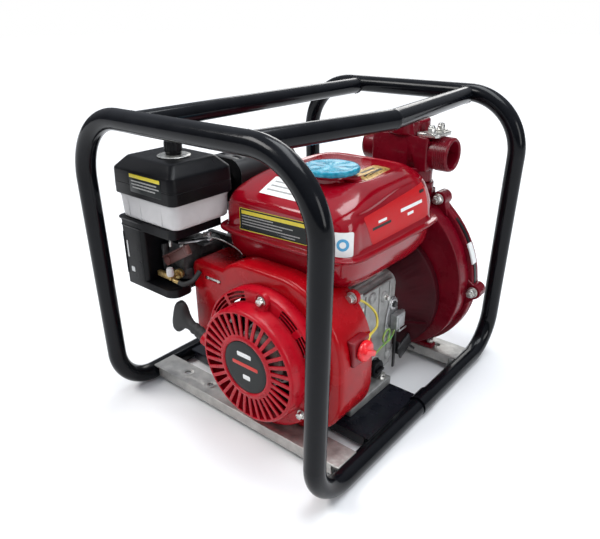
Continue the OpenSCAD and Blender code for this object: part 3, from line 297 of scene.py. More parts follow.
def soften(bm, width, least=25, steps=2, keep=lambda e: True):
    """Rounds the outward edges at which two faces meet at more than least degrees."""
    edges = [e for e in bm.edges if len(e.link_faces) == 2
            and e.calc_face_angle_signed(0) > radians(least) and keep(e)]
    if edges:
        bmesh.ops.bevel(bm, geom=edges, offset=width, segments=steps, affect="EDGES", clamp_overlap=False,
                profile=0.5)


def softened(node, width, least=25, steps=3, shortest=0.0):
    """A node's mesh with its corners rounded where its edges are longer than shortest."""
    bm = cad_mesh(node)
    soften(bm, width, least, steps, lambda e: e.calc_length() > shortest)
    return bm


def ring_loft(bm, rings, cap_ends=False):
    """Faces between closed rings of equally many points."""
    made = [[bm.verts.new(p) for p in ring] for ring in rings]
    for a, b in zip(made, made[1:]):
        n = len(a)
        for i in range(n):
            j = (i + 1) % n
            bm.faces.new((a[i], a[j], b[j], b[i]))
    if cap_ends:
        bm.faces.new(made[0][::-1])
        bm.faces.new(made[-1])
    return made


def turned(bm, profile, centre, axis="Y", n=96):
    """A profile of (radius, place along the axis) turned about an axis through centre."""
    rings = []
    for r, h in profile:
        ring = []
        for i in range(n):
            a = radians(360 * i / n)
            u, v = r * cos(a), r * sin(a)
            p = {"Y": (u, h, v), "Z": (u, v, h), "X": (h, u, v)}[axis]
            ring.append(tuple(c + q for c, q in zip(centre, p)))
        rings.append(ring)
    ring_loft(bm, rings)
    return bm


def block(bm, low, high, width, steps=2, matrix=None):
    """A box between two corners, with rounded edges, which a matrix may place."""
    part = bmesh.new()
    bmesh.ops.create_cube(part, size=1)
    size = [h - l for l, h in zip(low, high)]
    mid = [(h + l) / 2 for l, h in zip(low, high)]
    part.transform(Matrix.Translation(mid) @ Matrix.Diagonal((*size, 1)))
    bmesh.ops.bevel(part, geom=part.edges[:], offset=width, segments=steps, affect="EDGES", profile=0.5)
    add(bm, part, matrix)


def add(bm, part, matrix=None):
    """Copies one mesh into another."""
    if matrix:
        part.transform(matrix)
    mesh = bpy.data.meshes.new("part")
    part.to_mesh(mesh)
    part.free()
    bm.from_mesh(mesh)
    bpy.data.meshes.remove(mesh)


def placed(place, degree, axis):
    """A matrix that turns about an axis by some degrees and then moves to a place."""
    return Matrix.Translation(place) @ Matrix.Rotation(radians(degree), 4, axis)


def upright(way):
    """Z, or X for a direction that is itself close to Z."""
    return Vector((0, 0, 1)) if abs(way.z) < 0.9 else Vector((1, 0, 0))


def tube(bm, path, radius, n):
    """A round tube along points, with rings that stay square to it."""
    pts = [Vector(p) for p in path]
    side = None
    rings = []
    for i, p in enumerate(pts):
        ahead = (pts[min(i + 1, len(pts) - 1)] - pts[max(i - 1, 0)]).normalized()
        if side is None:
            side = ahead.cross(upright(ahead)).normalized()
        side = (side - ahead * side.dot(ahead)).normalized()
        up = ahead.cross(side)
        angles = [2 * pi * k / n for k in range(n)]
        rings.append([p + radius * (cos(a) * side + sin(a) * up) for a in angles])
    ring_loft(bm, rings, True)
    return bm


def bent(points, steps=8):
    """Points on a smooth curve through the given ones."""
    pts = [Vector(p) for p in points]
    out = []
    for i in range(len(pts) - 1):
        a, b = pts[max(i - 1, 0)], pts[i]
        c, d = pts[i + 1], pts[min(i + 2, len(pts) - 1)]
        for k in range(steps):
            t = k / steps
            out.append(0.5 * ((2 * b) + (c - a) * t + (2 * a - 5 * b + 4 * c - d) * t * t
                    + (3 * b - a - 3 * c + d) * t * t * t))
    return out + [pts[-1]]


def frame_of(x_axis, normal, place=(0, 0, 0)):
    """A matrix at a place, whose Z is the normal and whose X is nearest to x_axis."""
    z = Vector(normal).normalized()
    x = Vector(x_axis)
    x = (x - z * x.dot(z)).normalized()
    m = Matrix((x, z.cross(x), z)).transposed().to_4x4()
    m.translation = place
    return m


def rounded(w, h, r, n=5):
    """Points round a rectangle about the origin, with rounded corners."""
    out = []
    x, y = w / 2 - r, h / 2 - r
    for cx, cy, start in ((x, y, 0), (-x, y, 90), (-x, -y, 180), (x, -y, 270)):
        steps = [radians(start + 90 * k / n) for k in range(n + 1)]
        out += [(cx + r * cos(a), cy + r * sin(a)) for a in steps]
    return out


def plaque(bm, w, h, r, place, thick):
    """A thin rounded plate that faces the front."""
    part = bmesh.new()
    edge = thick * 0.6
    outer, inner = rounded(w, h, r), rounded(w - 2 * edge, h - 2 * edge, max(0.1, r - edge))
    ring_loft(part, [[(x, y, z) for x, y in outline]
            for outline, z in ((outer, 0), (outer, edge), (inner, thick))], True)
    add(bm, part, frame_of((1, 0, 0), (0, -1, 0), place))
    return bm


def hexagon(bm, across, height, place, way):
    """A nut or bolt head that faces along way, its corners chamfered."""
    part = bmesh.new()
    r = across / 2 / cos(radians(30))
    chamfer = 0.6
    ring_loft(part, [[(s * r * cos(radians(60 * k)), s * r * sin(radians(60 * k)), z) for k in range(6)]
            for s, z in ((0.93, 0), (1, chamfer), (1, height - chamfer), (0.9, height))], True)
    way = Vector(way).normalized()
    add(bm, part, frame_of(upright(way), way, place))


def on_crank(r, degree, y):
    """The point at a radius and angle about the crankshaft."""
    return (CRANK.x + r * cos(radians(degree)), y, CRANK.z + r * sin(radians(degree)))


def circle(x, y, z, r, n):
    """A level ring of n points."""
    return [(x + r * cos(2 * pi * i / n), y + r * sin(2 * pi * i / n), z) for i in range(n)]


def smoothstep(a, b, t):
    t = min(1, max(0, (t - a) / (b - a)))
    return t * t * (3 - 2 * t)


# ---------- fuel tank ----------

TANK_LOW, TANK_HIGH = Vector((-79, -122, 229)), Vector((147, 108, 356))
CAP = Vector((59, -41, 359))
TANK_POINTS = 168
# height, and how far the wall is drawn in at the left, front, right and rear
TANK_WALL = [(279, 0, 0, 0, 0), (300, 1.5, 0.5, 1.5, 1), (316, 4, 2, 4, 2.5), (327, 7.5, 10, 7.5, 3.5),
        (336, 13, 28, 13, 5), (343, 21, 45, 22, 8), (348, 30, 57, 32, 12), (350.5, 36, 64, 39, 17)]


def tank_ring(z, left, front, right, rear, sharp, groove=lambda x, y, z: 0.0):
    """One level of the tank's outline. A lower sharp rounds its corners more."""
    x0, x1 = TANK_LOW.x + left, TANK_HIGH.x - right
    y0, y1 = TANK_LOW.y + front, TANK_HIGH.y - rear
    cx, cy, a, b = (x0 + x1) / 2, (y0 + y1) / 2, (x1 - x0) / 2, (y1 - y0) / 2
    ring = []
    for i in range(TANK_POINTS):
        t = 2 * pi * i / TANK_POINTS
        c, s = cos(t), sin(t)
        reach = (abs(c) ** sharp + abs(s) ** sharp) ** (-1 / sharp)
        x, y = cx + a * reach * c, cy + b * reach * s
        deep = groove(x, y, z)
        if abs(c) > abs(s) * 1.02:
            out = Vector((1 if c > 0 else -1, 0))
        elif abs(s) > abs(c) * 1.02:
            out = Vector((0, 1 if s > 0 else -1))
        else:
            out = Vector((c * b, s * a)).normalized()
        ring.append((x - out.x * deep, y - out.y * deep, z))
    return ring


def arch(y):
    """Height of the ridge over the tank's side panels."""
    return 324 + 11 * smoothstep(-100, 30, y)


def panel_depth(x, y, z):
    """How far the panels on the tank's faces lie under its corners and shoulder."""
    if min(x - TANK_LOW.x, TANK_HIGH.x - x) < min(y - TANK_LOW.y, TANK_HIGH.y - y):
        inside, top = smoothstep(-96, -89, y) * (1 - smoothstep(86, 93, y)), arch(y)
    else:
        inside, top = smoothstep(-50, -44, x) * (1 - smoothstep(96, 103, x)), 312
    return 2.2 * inside * (1 - smoothstep(top, top + 4, z)) * smoothstep(279, 282, z)


def spread(table, steps):
    """Rows between a table's own, on smooth curves through them."""
    out = []
    for i in range(len(table) - 1):
        rows = [table[max(i - 1, 0)], table[i], table[i + 1], table[min(i + 2, len(table) - 1)]]
        for k in range(steps):
            t = k / steps
            out.append([0.5 * (2 * b + (c - a) * t + (2 * a - 5 * b + 4 * c - d) * t * t
                    + (3 * b - a - 3 * c + d) * t ** 3) for a, b, c, d in zip(*rows)])
    return out + [list(table[-1])]


def make_tank():
    upper = bmesh.new()
    rings = [tank_ring(z, i, i, i, i, 8)
            for z, i in ((274.1, -8.6), (274.3, -9), (275.4, -9), (276.2, -8.4), (276.5, -7.4),
                         (276.3, -3.2), (276.8, -1.4), (277.8, -0.4))]
    rings += [tank_ring(*row, 8 - 3.2 * smoothstep(300, 350, row[0]), panel_depth)
            for row in spread(TANK_WALL, 7)]
    # the crest, a shallow valley behind it, and then a dome up to the filler's neck
    crest_z = 350.2
    rings += [tank_ring(crest_z, 38.5, 66.5, 41.5, 19.5, 4.6), tank_ring(349.4, 41, 69, 44, 22, 4.5)]
    foot, neck = tank_ring(crest_z, 46, 73, 49, 28, 4.3), circle(*CAP, 31, TANK_POINTS)
    for k in range(7):
        t = k / 6
        z = crest_z + 4.2 * sin(t * pi / 2)
        rings.append([(p[0] + (q[0] - p[0]) * t, p[1] + (q[1] - p[1]) * t, z) for p, q in zip(foot, neck)])
    rings += [circle(CAP.x, CAP.y, z, r, TANK_POINTS)
            for r, z in ((30.2, 355.2), (30, 357.4), (29, 358), (25.2, 358), (25, 356), (25, 348))]
    ring_loft(upper, rings)
    tank = piece("tank_upper", upper, "tank_crimson", node="tank_upper_shell", smooth=50)

    lower = bmesh.new()
    rows = ((273.7, -8.6), (273.5, -9), (272.6, -9), (271.9, -8.4), (271.6, -7.4), (271.8, -2.6),
            (271, -0.6), (268.6, 0.5), (261, 1.2), (252, 2.2), (243, 3.8), (236, 6.2), (230.6, 9.6),
            (226.4, 14.2), (223.4, 20), (221.8, 27), (221.2, 36), (221, 48))
    ring_loft(lower, [tank_ring(z, i, i, i, i, 8 if z > 240 else 6) for z, i in rows], True)
    piece("tank_lower", lower, "tank_crimson", node="tank_lower_shell", smooth=50)

    cap = bmesh.new()
    n, rings = 144, []
    for r, z, flute in ((31, 359.3, 0), (37.6, 359.3, 0.6), (38.9, 360.2, 1), (39, 362, 1),
            (38.9, 364.4, 1), (38.2, 366.2, 0.8), (36.6, 367.0, 0.35), (33, 366.9, 0),
            (28, 366.2, 0), (14, 366.4, 0), (3, 366.6, 0)):
        ring = []
        for i in range(n):
            t = 2 * pi * i / n
            d = r - flute * 0.9 * (1 + cos(24 * t)) / 2 - flute * 0.25 * sin(5 * t + 1)
            wave = 0.25 * sin(7 * t) if r < 37 and z > 366 else 0
            ring.append((CAP.x + d * cos(t), CAP.y + d * sin(t), z + wave))
        rings.append(ring)
    ring_loft(cap, rings, True)
    piece("cap_film", cap, "cap_blue", "filler_cap", "fuel_cap", smooth=50)
    return tank


def seat(target, centre, x_axis, away, points, lift):
    """Rows of points about centre, dropped on to a surface against away, and lifted off it a little."""
    tree = BVHTree.FromPolygons([v.co / MM for v in target.data.vertices],
            [list(p.vertices) for p in target.data.polygons])
    m = frame_of(x_axis, away, centre)
    out = Vector(away).normalized()

    def dropped(x, y):
        start = m @ Vector((x, y, 0)) + out * 30
        return (tree.ray_cast(start, -out)[0] or start - out * 30) + out * lift

    return [[dropped(x, y) for x, y in row] for row in points]


def film(target, points, centre, x_axis, away, lift, thick):
    """A thin film laid on a surface. Its rows of points are about centre, along x_axis and up."""
    bm = bmesh.new()
    low, high = [[[bm.verts.new(p) for p in row] for row in seat(target, centre, x_axis, away, points, h)]
            for h in (lift, lift + thick)]
    last_row, last = len(points) - 1, len(points[0]) - 1
    for sheet in (low, high):
        for a, b in zip(sheet, sheet[1:]):
            for k in range(last):
                bm.faces.new((a[k], a[k + 1], b[k + 1], b[k]))
    edge = [(0, k) for k in range(last)] + [(j, last) for j in range(last_row)]
    edge += [(last_row, k) for k in range(last, 0, -1)] + [(j, 0) for j in range(last_row, 0, -1)]
    for a, b in zip(edge, edge[1:] + edge[:1]):
        bm.faces.new((low[a[0]][a[1]], low[b[0]][b[1]], high[b[0]][b[1]], high[a[0]][a[1]]))
    return bm


def sheet_rows(shape, r, cells):
    """Rows of points over a quadrilateral with rounded corners, given round from its lower left."""
    (ax, ay), (bx, by), (cx, cy), (dx, dy) = shape
    height = ((dx - ax) ** 2 + (dy - ay) ** 2) ** 0.5
    ends = [0, 0.08, 0.3, 0.65, 1]
    levels = [r * e / height for e in ends]
    levels += [levels[-1] + (1 - 2 * levels[-1]) * k / cells[1] for k in range(1, cells[1])]
    levels += [1 - r * e / height for e in reversed(ends)]
    rows = []
    for v in levels:
        near = min(min(v, 1 - v) * height / r, 1)
        pull = r * (1 - (1 - (1 - near) ** 2) ** 0.5)
        x0, y0, x1, y1 = ax + (dx - ax) * v, ay + (dy - ay) * v, bx + (cx - bx) * v, by + (cy - by) * v
        share = pull / ((x1 - x0) ** 2 + (y1 - y0) ** 2) ** 0.5
        steps = [share + (1 - 2 * share) * k / cells[0] for k in range(cells[0] + 1)]
        rows.append([(x0 + (x1 - x0) * u, y0 + (y1 - y0) * u) for u in steps])
    return rows


def strip_rows(w, h, x, y, r):
    """The same for a level strip about (x, y)."""
    left, right, low, high = x - w / 2, x + w / 2, y - h / 2, y + h / 2
    cells = (14, 8) if r > 1 else (10, 1)
    return sheet_rows([(left, low), (right, low), (right, high), (left, high)], r, cells)


def make_tank_labels(tank):
    front = dict(centre=(22, -122, 295.6), x_axis=(1, 0, 0.03), away=(0, -1, 0))
    side = dict(centre=(147, 0, 305), x_axis=(0, 1, 0), away=(1, 0, 0))
    corner = dict(centre=(130, -109, 294), x_axis=(0.85, 0.53, 0), away=(0.53, -0.85, 0))
    slope = dict(centre=(20, -88, 340), x_axis=(1, 0, 0), away=(0, -0.5, 0.86))
    crown = dict(centre=(88, 12, 356), x_axis=(-0.1, 1, 0), away=(0, 0, 1))
    panel = [(-66, -23), (84, -22), (77, 27), (-80, 16)]
    panel = film(tank, sheet_rows(panel, 4, (18, 12)), lift=0.05, thick=0.15, **side)
    piece("side_panel", panel, "panel_red")
    # name, finish, face, width, height, place, corner radius, lift and thickness
    strips = [
        ("notice_edge", "notice_yellow", front, 121, 30.5, 0, 0, 2.2, 0.05, 0.2),
        ("notice_plate", "badge_black", front, 119.4, 28.9, 0, 0, 1.6, 0.25, 0.1),
        ("notice_band", "notice_yellow", front, 113, 5, 0, 9.8, 0.5, 0.35, 0.06),
        ("corner_tag", "label_white", corner, 26, 31, 0, 0, 2.5, 0.05, 0.2),
        ("top_tag", "label_white", slope, 68, 38, 0, 0, 1.5, 0.05, 0.2),
        ("gold_tag", "label_gold", crown, 70, 26, 0, 0, 2, 0.05, 0.15),
        ("gold_tag_bar_0", "badge_black", crown, 50, 4, -2, -5, 0.5, 0.2, 0.06),
        ("gold_tag_bar_1", "badge_black", crown, 38, 4, -2, 4, 0.5, 0.2, 0.06)]
    strips += [(f"notice_line_{k}", "notice_grey", front, w, 1.5, w / 2 - 56, 4.6 - 4 * k, 0.3, 0.35, 0.05)
            for k, w in enumerate((58, 92, 74, 104, 96))]
    strips += [(f"side_bar_{k}", slot, side, *place, 0.5, 0.2, 0.08)
            for k, (slot, *place) in enumerate((
                ("label_white", 58, 4.6, 34, 4), ("label_white", 16, 4, 30, -5),
                ("badge_black", 44, 3.6, -42, -3), ("label_white", 20, 3.4, -40, 3),
                ("badge_black", 14, 4, 66, 17)))]
    strips += [(f"top_tag_line_{k}", "notice_grey", slope, 54, 3.2, 0, -9 + 9 * k, 0.5, 0.25, 0.05)
            for k in range(3)]
    for name, slot, face, w, h, x, y, r, lift, thick in strips:
        piece(name, film(tank, strip_rows(w, h, x, y, r), lift=lift, thick=thick, **face), slot)

    around = [[p[:2] for p in circle(0, 0, 0, r, 48)] for r in (4.2, 7.8)]
    ring = bmesh.new()
    low, high = [seat(tank, points=around, lift=h, **corner) for h in (0.25, 0.4)]
    ring_loft(ring, [low[0], high[0], high[1], low[1], low[0]])
    piece("corner_tag_ring", ring, "ring_blue")


make_tank_labels(make_tank())

# ---------- rope starter and fan shroud ----------

SLOTS_ROUND = 34
# angle on the starter of its lug at the top
TOP_LUG = 83


def skinned(bm, thick):
    """Gives a sheet thickness, inwards of its faces' normals."""
    bmesh.ops.recalc_face_normals(bm, faces=bm.faces)
    bmesh.ops.solidify(bm, geom=bm.faces[:], thickness=thick)


def polar_sheet(rows, count, angle, is_open):
    """A sheet over rows of (radius, y), with count columns at angle(column, radius) and some cells open."""
    bm = bmesh.new()
    grid = [[bm.verts.new(on_crank(r, degrees(angle(k, r)), y)) for k in range(count)] for r, y in rows]
    for j in range(len(rows) - 1):
        for k in range(count):
            if not is_open(j, k):
                m = (k + 1) % count
                bm.faces.new((grid[j][k], grid[j][m], grid[j + 1][m], grid[j + 1][k]))
    bmesh.ops.delete(bm, geom=[v for v in bm.verts if not v.link_faces], context="VERTS")
    return bm


def make_starter():
    pitch = 2 * pi / SLOTS_ROUND
    drum_rows = [(36.5, -204.2), (38.1, -204.4), (38.5, -205.6), (39.6, -206.3), (41.6, -206.4),
            (43.6, -205.9), (45, -205.0), (46.5, -204.8), (60, -204.9), (76.2, -204.8), (78.6, -204.3),
            (80.6, -202.6), (81.7, -200), (82, -196), (82, -188), (82, -178.4), (82.4, -177.6)]

    def rib_angle(k, r):
        half = 2.5 / r
        return (k // 4) * pitch + (-half, 0, half, pitch / 2)[k % 4]

    drum = polar_sheet(drum_rows, 4 * SLOTS_ROUND, rib_angle, lambda j, k: k % 4 >= 2 and j in (7, 8))
    skinned(drum, 2.6)
    soften(drum, 0.55, 50, 2)
    boss = bmesh.new()
    turned(boss, [(3.2, -6), (9, -6), (10.8, -4.6), (11, -2), (11, 9), (9.2, 10.6), (6.4, 10.8), (5.4, 9.8),
            (3.2, 9.4), (3.2, -6)], (0, 0, 0), "Z", 40)
    add(drum, boss, frame_of((0, 1, 0), ROPE_WAY, ROPE_EXIT))
    piece("starter_drum", drum, "starter_red", smooth=40, node="recoil_cover")

    rows = [(81.5, -178), (83, -178), (87, -178), (88.4, -178), (92.2, -178), (93.6, -178), (97.2, -177.6),
            (99.3, -176.3), (100, -174), (100, -166), (100, -158.2)]
    count = 180

    def louvre(j, k):
        a = k * 360 / count
        return j in (1, 3, 5) and (22 <= a < 40 or 45 <= a < 63 or 104 <= a < 126 or 130 <= a < 152)

    shoulder = polar_sheet(rows, count, lambda k, r: k * 2 * pi / count, louvre)
    skinned(shoulder, 2.2)
    soften(shoulder, 0.4, 50, 2)
    for degree in (TOP_LUG, TOP_LUG + 120, TOP_LUG + 240):
        face, near, far = (-182.5, 11, 11.6) if degree == TOP_LUG else (-178.8, 9.8, 10.2)
        turned(shoulder, [(3, -176), (3, face + 1.4), (8.4, face + 1.2), (9.4, face), (near, face + 0.6),
                (far, -176)], on_crank(92, degree, 0), "Y", 36)
    gusset = bmesh.new()
    profile = ((-1, 0), (-0.8, 0.8), (-0.45, 1), (0.45, 1), (0.8, 0.8), (1, 0))
    ring_loft(gusset, [[(u * w, r, v * h) for u, v in profile]
            for r, w, h in ((70, 7, 14), (80, 9, 11.5), (86, 10.5, 6.5), (96, 8, 2.5))], True)
    soften(gusset, 0.8, 30)
    radial = Vector((cos(radians(TOP_LUG)), 0, sin(radians(TOP_LUG))))
    out = Vector((0, -1, 0))
    turn = Matrix((radial.cross(out), radial, out)).transposed().to_4x4()
    add(shoulder, gusset, Matrix.Translation(Vector((CRANK.x, -177.4, CRANK.z))) @ turn)
    piece("starter_shoulder", shoulder, "starter_red", smooth=40)

    badge = bmesh.new()
    turned(badge, [(0.4, -205.2), (30, -205.3), (36.6, -205.2), (37.6, -204.8), (38, -204.2)], CRANK,
           n=80)
    badge.faces.new(badge.verts[:80])
    piece("badge_face", badge, "badge_black", node="recoil_badge")


def make_shroud():
    bm = cad_mesh("fan_shroud")

    def outer(e):
        """Whether an edge is on the front face's outline."""
        a, b = (v.co for v in e.verts)
        flat = abs(a.y + 158) < 0.05 and abs(b.y + 158) < 0.05
        far = min(Vector((p.x - CRANK.x, p.z - CRANK.z)).length for p in (a, b))
        return flat and far > 97 and not (a.x < -40 and 200 < a.z < 212)

    soften(bm, 6.5, 40, 4, outer)
    soften(bm, 0.7, 45, 2, lambda e: e.calc_length() > 1.6)
    turned(bm, [(0.3, -99), (9.4, -99), (10, -98.4), (10, -93), (0.3, -93)], (138.5, 0, 218), "Y", 36)
    piece("fan_shroud_fine", bm, "engine_red", node="fan_shroud", smooth=40)
    clip = plaque(bmesh.new(), 27, 3.6, 1.4, (-60, -156.4, 206.5), 0.9)
    for x in (-71, -50):
        turned(clip, [(0.3, -157.8), (2.1, -157.8), (2.6, -157.4), (2.6, -156)], (x, 0, 206.5), "Y", 24)
    piece("slot_clip", clip, "bright_bolts")


make_starter()
make_shroud()

# ---------- air cleaner, duct and carburettor ----------

CLEANER_LOW, CLEANER_HIGH = (-203, -206), (-72, -95)


def inset_rings(low, high, rows):
    """Rings of a rounded box, each row giving its height, how far it is drawn in, and its corner radius."""
    x, y = (low[0] + high[0]) / 2, (low[1] + high[1]) / 2
    w, h = high[0] - low[0], high[1] - low[1]
    return [[(x + u, y + v, z) for u, v in rounded(w - 2 * i, h - 2 * i, r, 6)] for z, i, r in rows]


def make_air_cleaner():
    cover = bmesh.new()
    rows = [(323.5, 2.5, 9), (322, 1.6, 9), (322, 0.3, 10), (322.8, -0.2, 10), (338.6, -0.2, 10),
            (339, 0.3, 9.6), (339.8, 0.3, 9.6), (340.2, -0.2, 10), (342, 0, 10), (356, 0.4, 10),
            (358.2, 1.0, 9.8), (360, 2.6, 9.4), (371.5, 13.6, 8), (373.2, 15.8, 7.6), (373.8, 18.4, 7),
            (374, 22, 6)]
    made = ring_loft(cover, inset_rings(CLEANER_LOW, CLEANER_HIGH, rows))
    cover.faces.new(made[-1])
    piece("cleaner_cover", cover, "black_plastic", node="air_cleaner_cover", smooth=28)

    base = bmesh.new()
    rows = [(286.2, 20, 8), (286, 9, 11), (286.6, 6.4, 12), (288.6, 4.6, 13), (293, 4, 14),
            (318.4, 3.2, 13.4), (318.8, 2.6, 13), (321.9, 2.6, 13)]
    ring_loft(base, inset_rings(CLEANER_LOW, CLEANER_HIGH, rows), True)
    for x in (-176, -150, -104):
        block(base, (x, -202.9, 289), (x + 1.6, -201.0, 318), 0.5)
    block(base, (-77.2, -160, 290), (-75.6, -158, 318), 0.5)
    piece("cleaner_base", base, "white_plastic", node="air_cleaner_base")

    nut = bmesh.new()
    x, y, flutes, rings = -126, -154, 8, []
    angles = [2 * pi * i / 96 for i in range(96)]
    for r, z, flute in ((3.1, 376.5, 0), (10.4, 376.4, 0), (11, 377, 0), (11, 379.6, 0), (11.8, 380.4, 0),
            (12.3, 381, 1), (12.5, 383, 1), (12.5, 392.6, 1), (11.8, 394.8, 0.8),
            (9.6, 395.9, 0), (5, 396, 0), (0.4, 395.6, 0)):
        reach = [r - flute * 1.1 * max(0, cos(flutes * a)) ** 3 for a in angles]
        rings.append([(d * cos(a) + x, d * sin(a) + y, z) for d, a in zip(reach, angles)])
    made = ring_loft(nut, rings)
    nut.faces.new(made[-1])
    piece("cleaner_knob", nut, "black_plastic", "cleaner_nut", "air_cleaner_nut", smooth=40)
    rows = [(3.4, 374.4), (22.4, 374.4), (23, 374.8), (23, 375.4), (22.2, 375.9), (16, 376.4), (3.4, 376.5),
            (3.4, 374.4)]
    washer = turned(bmesh.new(), rows, (x, y, 0), "Z", 64)
    piece("cleaner_washer", washer, "bright_bolts", "cleaner_nut", smooth=40)


def make_duct():
    bm = softened("intake_duct", 1.6, 40, 3, 3)
    for z0, z1, grow in ((281.8, 285.6, 2.4), (271, 274, 0.9)):
        rim = bmesh.new()
        rows = [(z0, 0.8 - grow, 8), (z0 + 0.8, -grow, 8), (z1 - 0.8, -grow, 8), (z1, 0.8 - grow, 8),
                (z1, 3, 6), (z0, 3, 6)]
        rings = inset_rings((-203, -203), (-150, -110), rows)
        ring_loft(rim, rings + rings[:1])
        add(bm, rim)
    block(bm, (-198, -204.2, 196), (-196.6, -202.6, 262), 0.5)
    block(bm, (-204.2, -180, 186), (-202.6, -136, 190), 0.6)
    piece("duct", bm, "black_plastic", node="intake_duct")


def make_carburettor():
    # the carburettor body and float bowl take die-cast metal darkened with painted shade
    piece("carburettor_fine", softened("carburettor", 0.9, steps=2), "die_cast_painted_shade", node="carburettor")
    bowl = bmesh.new()
    turned(bowl, [(20.6, 211.4), (20.6, 206), (19.6, 200), (16.5, 195.9), (5.5, 195.4), (5.5, 191.8),
            (0.4, 191.8)], (-124, -152, 0), "Z", 48)
    hexagon(bowl, 10, 4.2, (-124, -152, 191.9), (0, 0, -1))
    piece("float_bowl", bowl, "die_cast_painted_shade")
    brass = bmesh.new()
    turned(brass, [(0.4, 0), (7.2, 0), (7.2, 5), (5.2, 5.6), (5.2, 9), (0.4, 9)], (0, 0, 0), "Z", 28)
    brass.transform(frame_of((0, 0, 1), (0.35, -1, 0), (-114, -172, 207)))
    tube(brass, bent([(-114, -178, 208), (-112, -186, 207), (-106, -190, 204), (-99, -188, 202)]), 3.1, 12)
    block(brass, (-134, -181, 199), (-118, -173.5, 204), 1)
    block(brass, (-113.6, -194, 203.4), (-108.6, -186, 209.8), 1)
    piece("fuel_union", brass, "brass_part")
    knob = turned(bmesh.new(), [(0.4, 0), (4, 0.2), (5, 1.6), (5.3, 4), (4.9, 11), (3.8, 13), (0.4, 13.4)],
            (-111.2, -191.7, 209.6), "Z", 28)
    piece("idle_cap", knob, "white_plastic")
    posts = bmesh.new()
    for x, y, low, top in ((-136, -167, 242, 255), (-111, -167, 242, 251), (-112, -122, 243, 256)):
        turned(posts, [(0.4, top), (2.6, top), (3, top - 0.6), (3, low), (0.4, low)], (x, y, 0), "Z", 20)
    coils, spring = 11, []
    for t in (k / 120 for k in range(121)):
        a = t * 2 * pi * coils
        spring.append((-108 + 22 * t + 2.6 * cos(a), -140 + 2.6 * sin(a), 258 + 4 * t))
    tube(posts, spring, 0.5, 6)
    tube(posts, bent([(-84, -140, 262), (-62, -132, 258), (-40, -127, 250), (-30, -126, 243)]), 0.8, 8)
    piece("carb_screws", posts, "bright_bolts", smooth=40)
    hose = bent([(-99, -188, 202), (-92, -184, 200), (-86, -172, 203), (-84, -160, 214)], 10)
    piece("fuel_pipe", tube(bmesh.new(), hose, 3.6, 14), "rubber_black", smooth=50)
    lever = bmesh.new()
    block(lever, (-7.5, -0.9, -8), (7.5, 0.9, 60), 0.8)
    block(lever, (-7.5, -5.5, -4), (-6, 0.9, 60), 0.6)
    turned(lever, [(0.4, -2.6), (6.6, -2.6), (7.4, -1.6), (7.4, 1.6), (6.6, 2.4), (0.4, 2.4)], (0, 0, 0),
           "Y", 28)
    block(lever, (-6, -7, 54), (6, 0.9, 61), 1.2)
    lever.transform(placed((-130, -179, 226), 60, "Y"))
    piece("choke_arm", lever, "choke_brown", "choke", "choke_lever")


def make_front_plates():
    for name, slot, w, h, r, place, thick in (
            ("badge_bar_top", "label_white", 25, 6.5, 1.6, (45, -205.2, 146), 0.25),
            ("badge_bar_mid", "badge_red", 46, 5.5, 1.6, (46, -205.2, 131), 0.25),
            ("badge_bar_low", "label_white", 13, 7, 1.6, (48, -205.2, 113), 0.25),
            ("cleaner_tag", "badge_black", 68, 26, 0.8, (-127, -205.9, 342.4), 0.5),
            ("cleaner_tag_band", "notice_yellow", 66, 5.4, 0.8, (-127, -205.9, 352.4), 0.6),
            *((f"cleaner_tag_line_{k}", "notice_grey", w, 2.4, 0.8, (x, -205.9, z), 0.6)
              for k, (w, x, z) in enumerate(((56, -129, 345.6), (60, -127, 341.2), (50, -130, 336.8)))),
            ("duct_mark_tall", "label_white", 3.2, 26, 0.8, (-191, -203, 236), 0.3),
            ("duct_mark_low", "label_white", 8, 8, 0.8, (-184, -203, 205), 0.3)):
        piece(name, plaque(bmesh.new(), w, h, r, place, thick), slot)


make_air_cleaner()
make_duct()
make_front_plates()
make_carburettor()

# ---------- engine's right side ----------


def flange_bolt(bm, place, axis, across=8, height=5):
    """A bolt head on its washer flange, facing along axis."""
    at, way, r = Vector(place), Vector(axis).normalized(), across * 0.82
    rim = turned(bmesh.new(), [(0.3, 0), (r, 0), (r, 0.9), (r * 0.86, 1.5), (0.3, 1.5)], (0, 0, 0), "Z", 28)
    add(bm, rim, frame_of((0, 0.3, 1) if abs(way.z) < 0.9 else (1, 0, 0), way, at))
    hexagon(bm, across, height, at + way * 1.4, way)


OIL_CAPS_Y = (-58, -8)
SWITCH = (0, -122, 165)


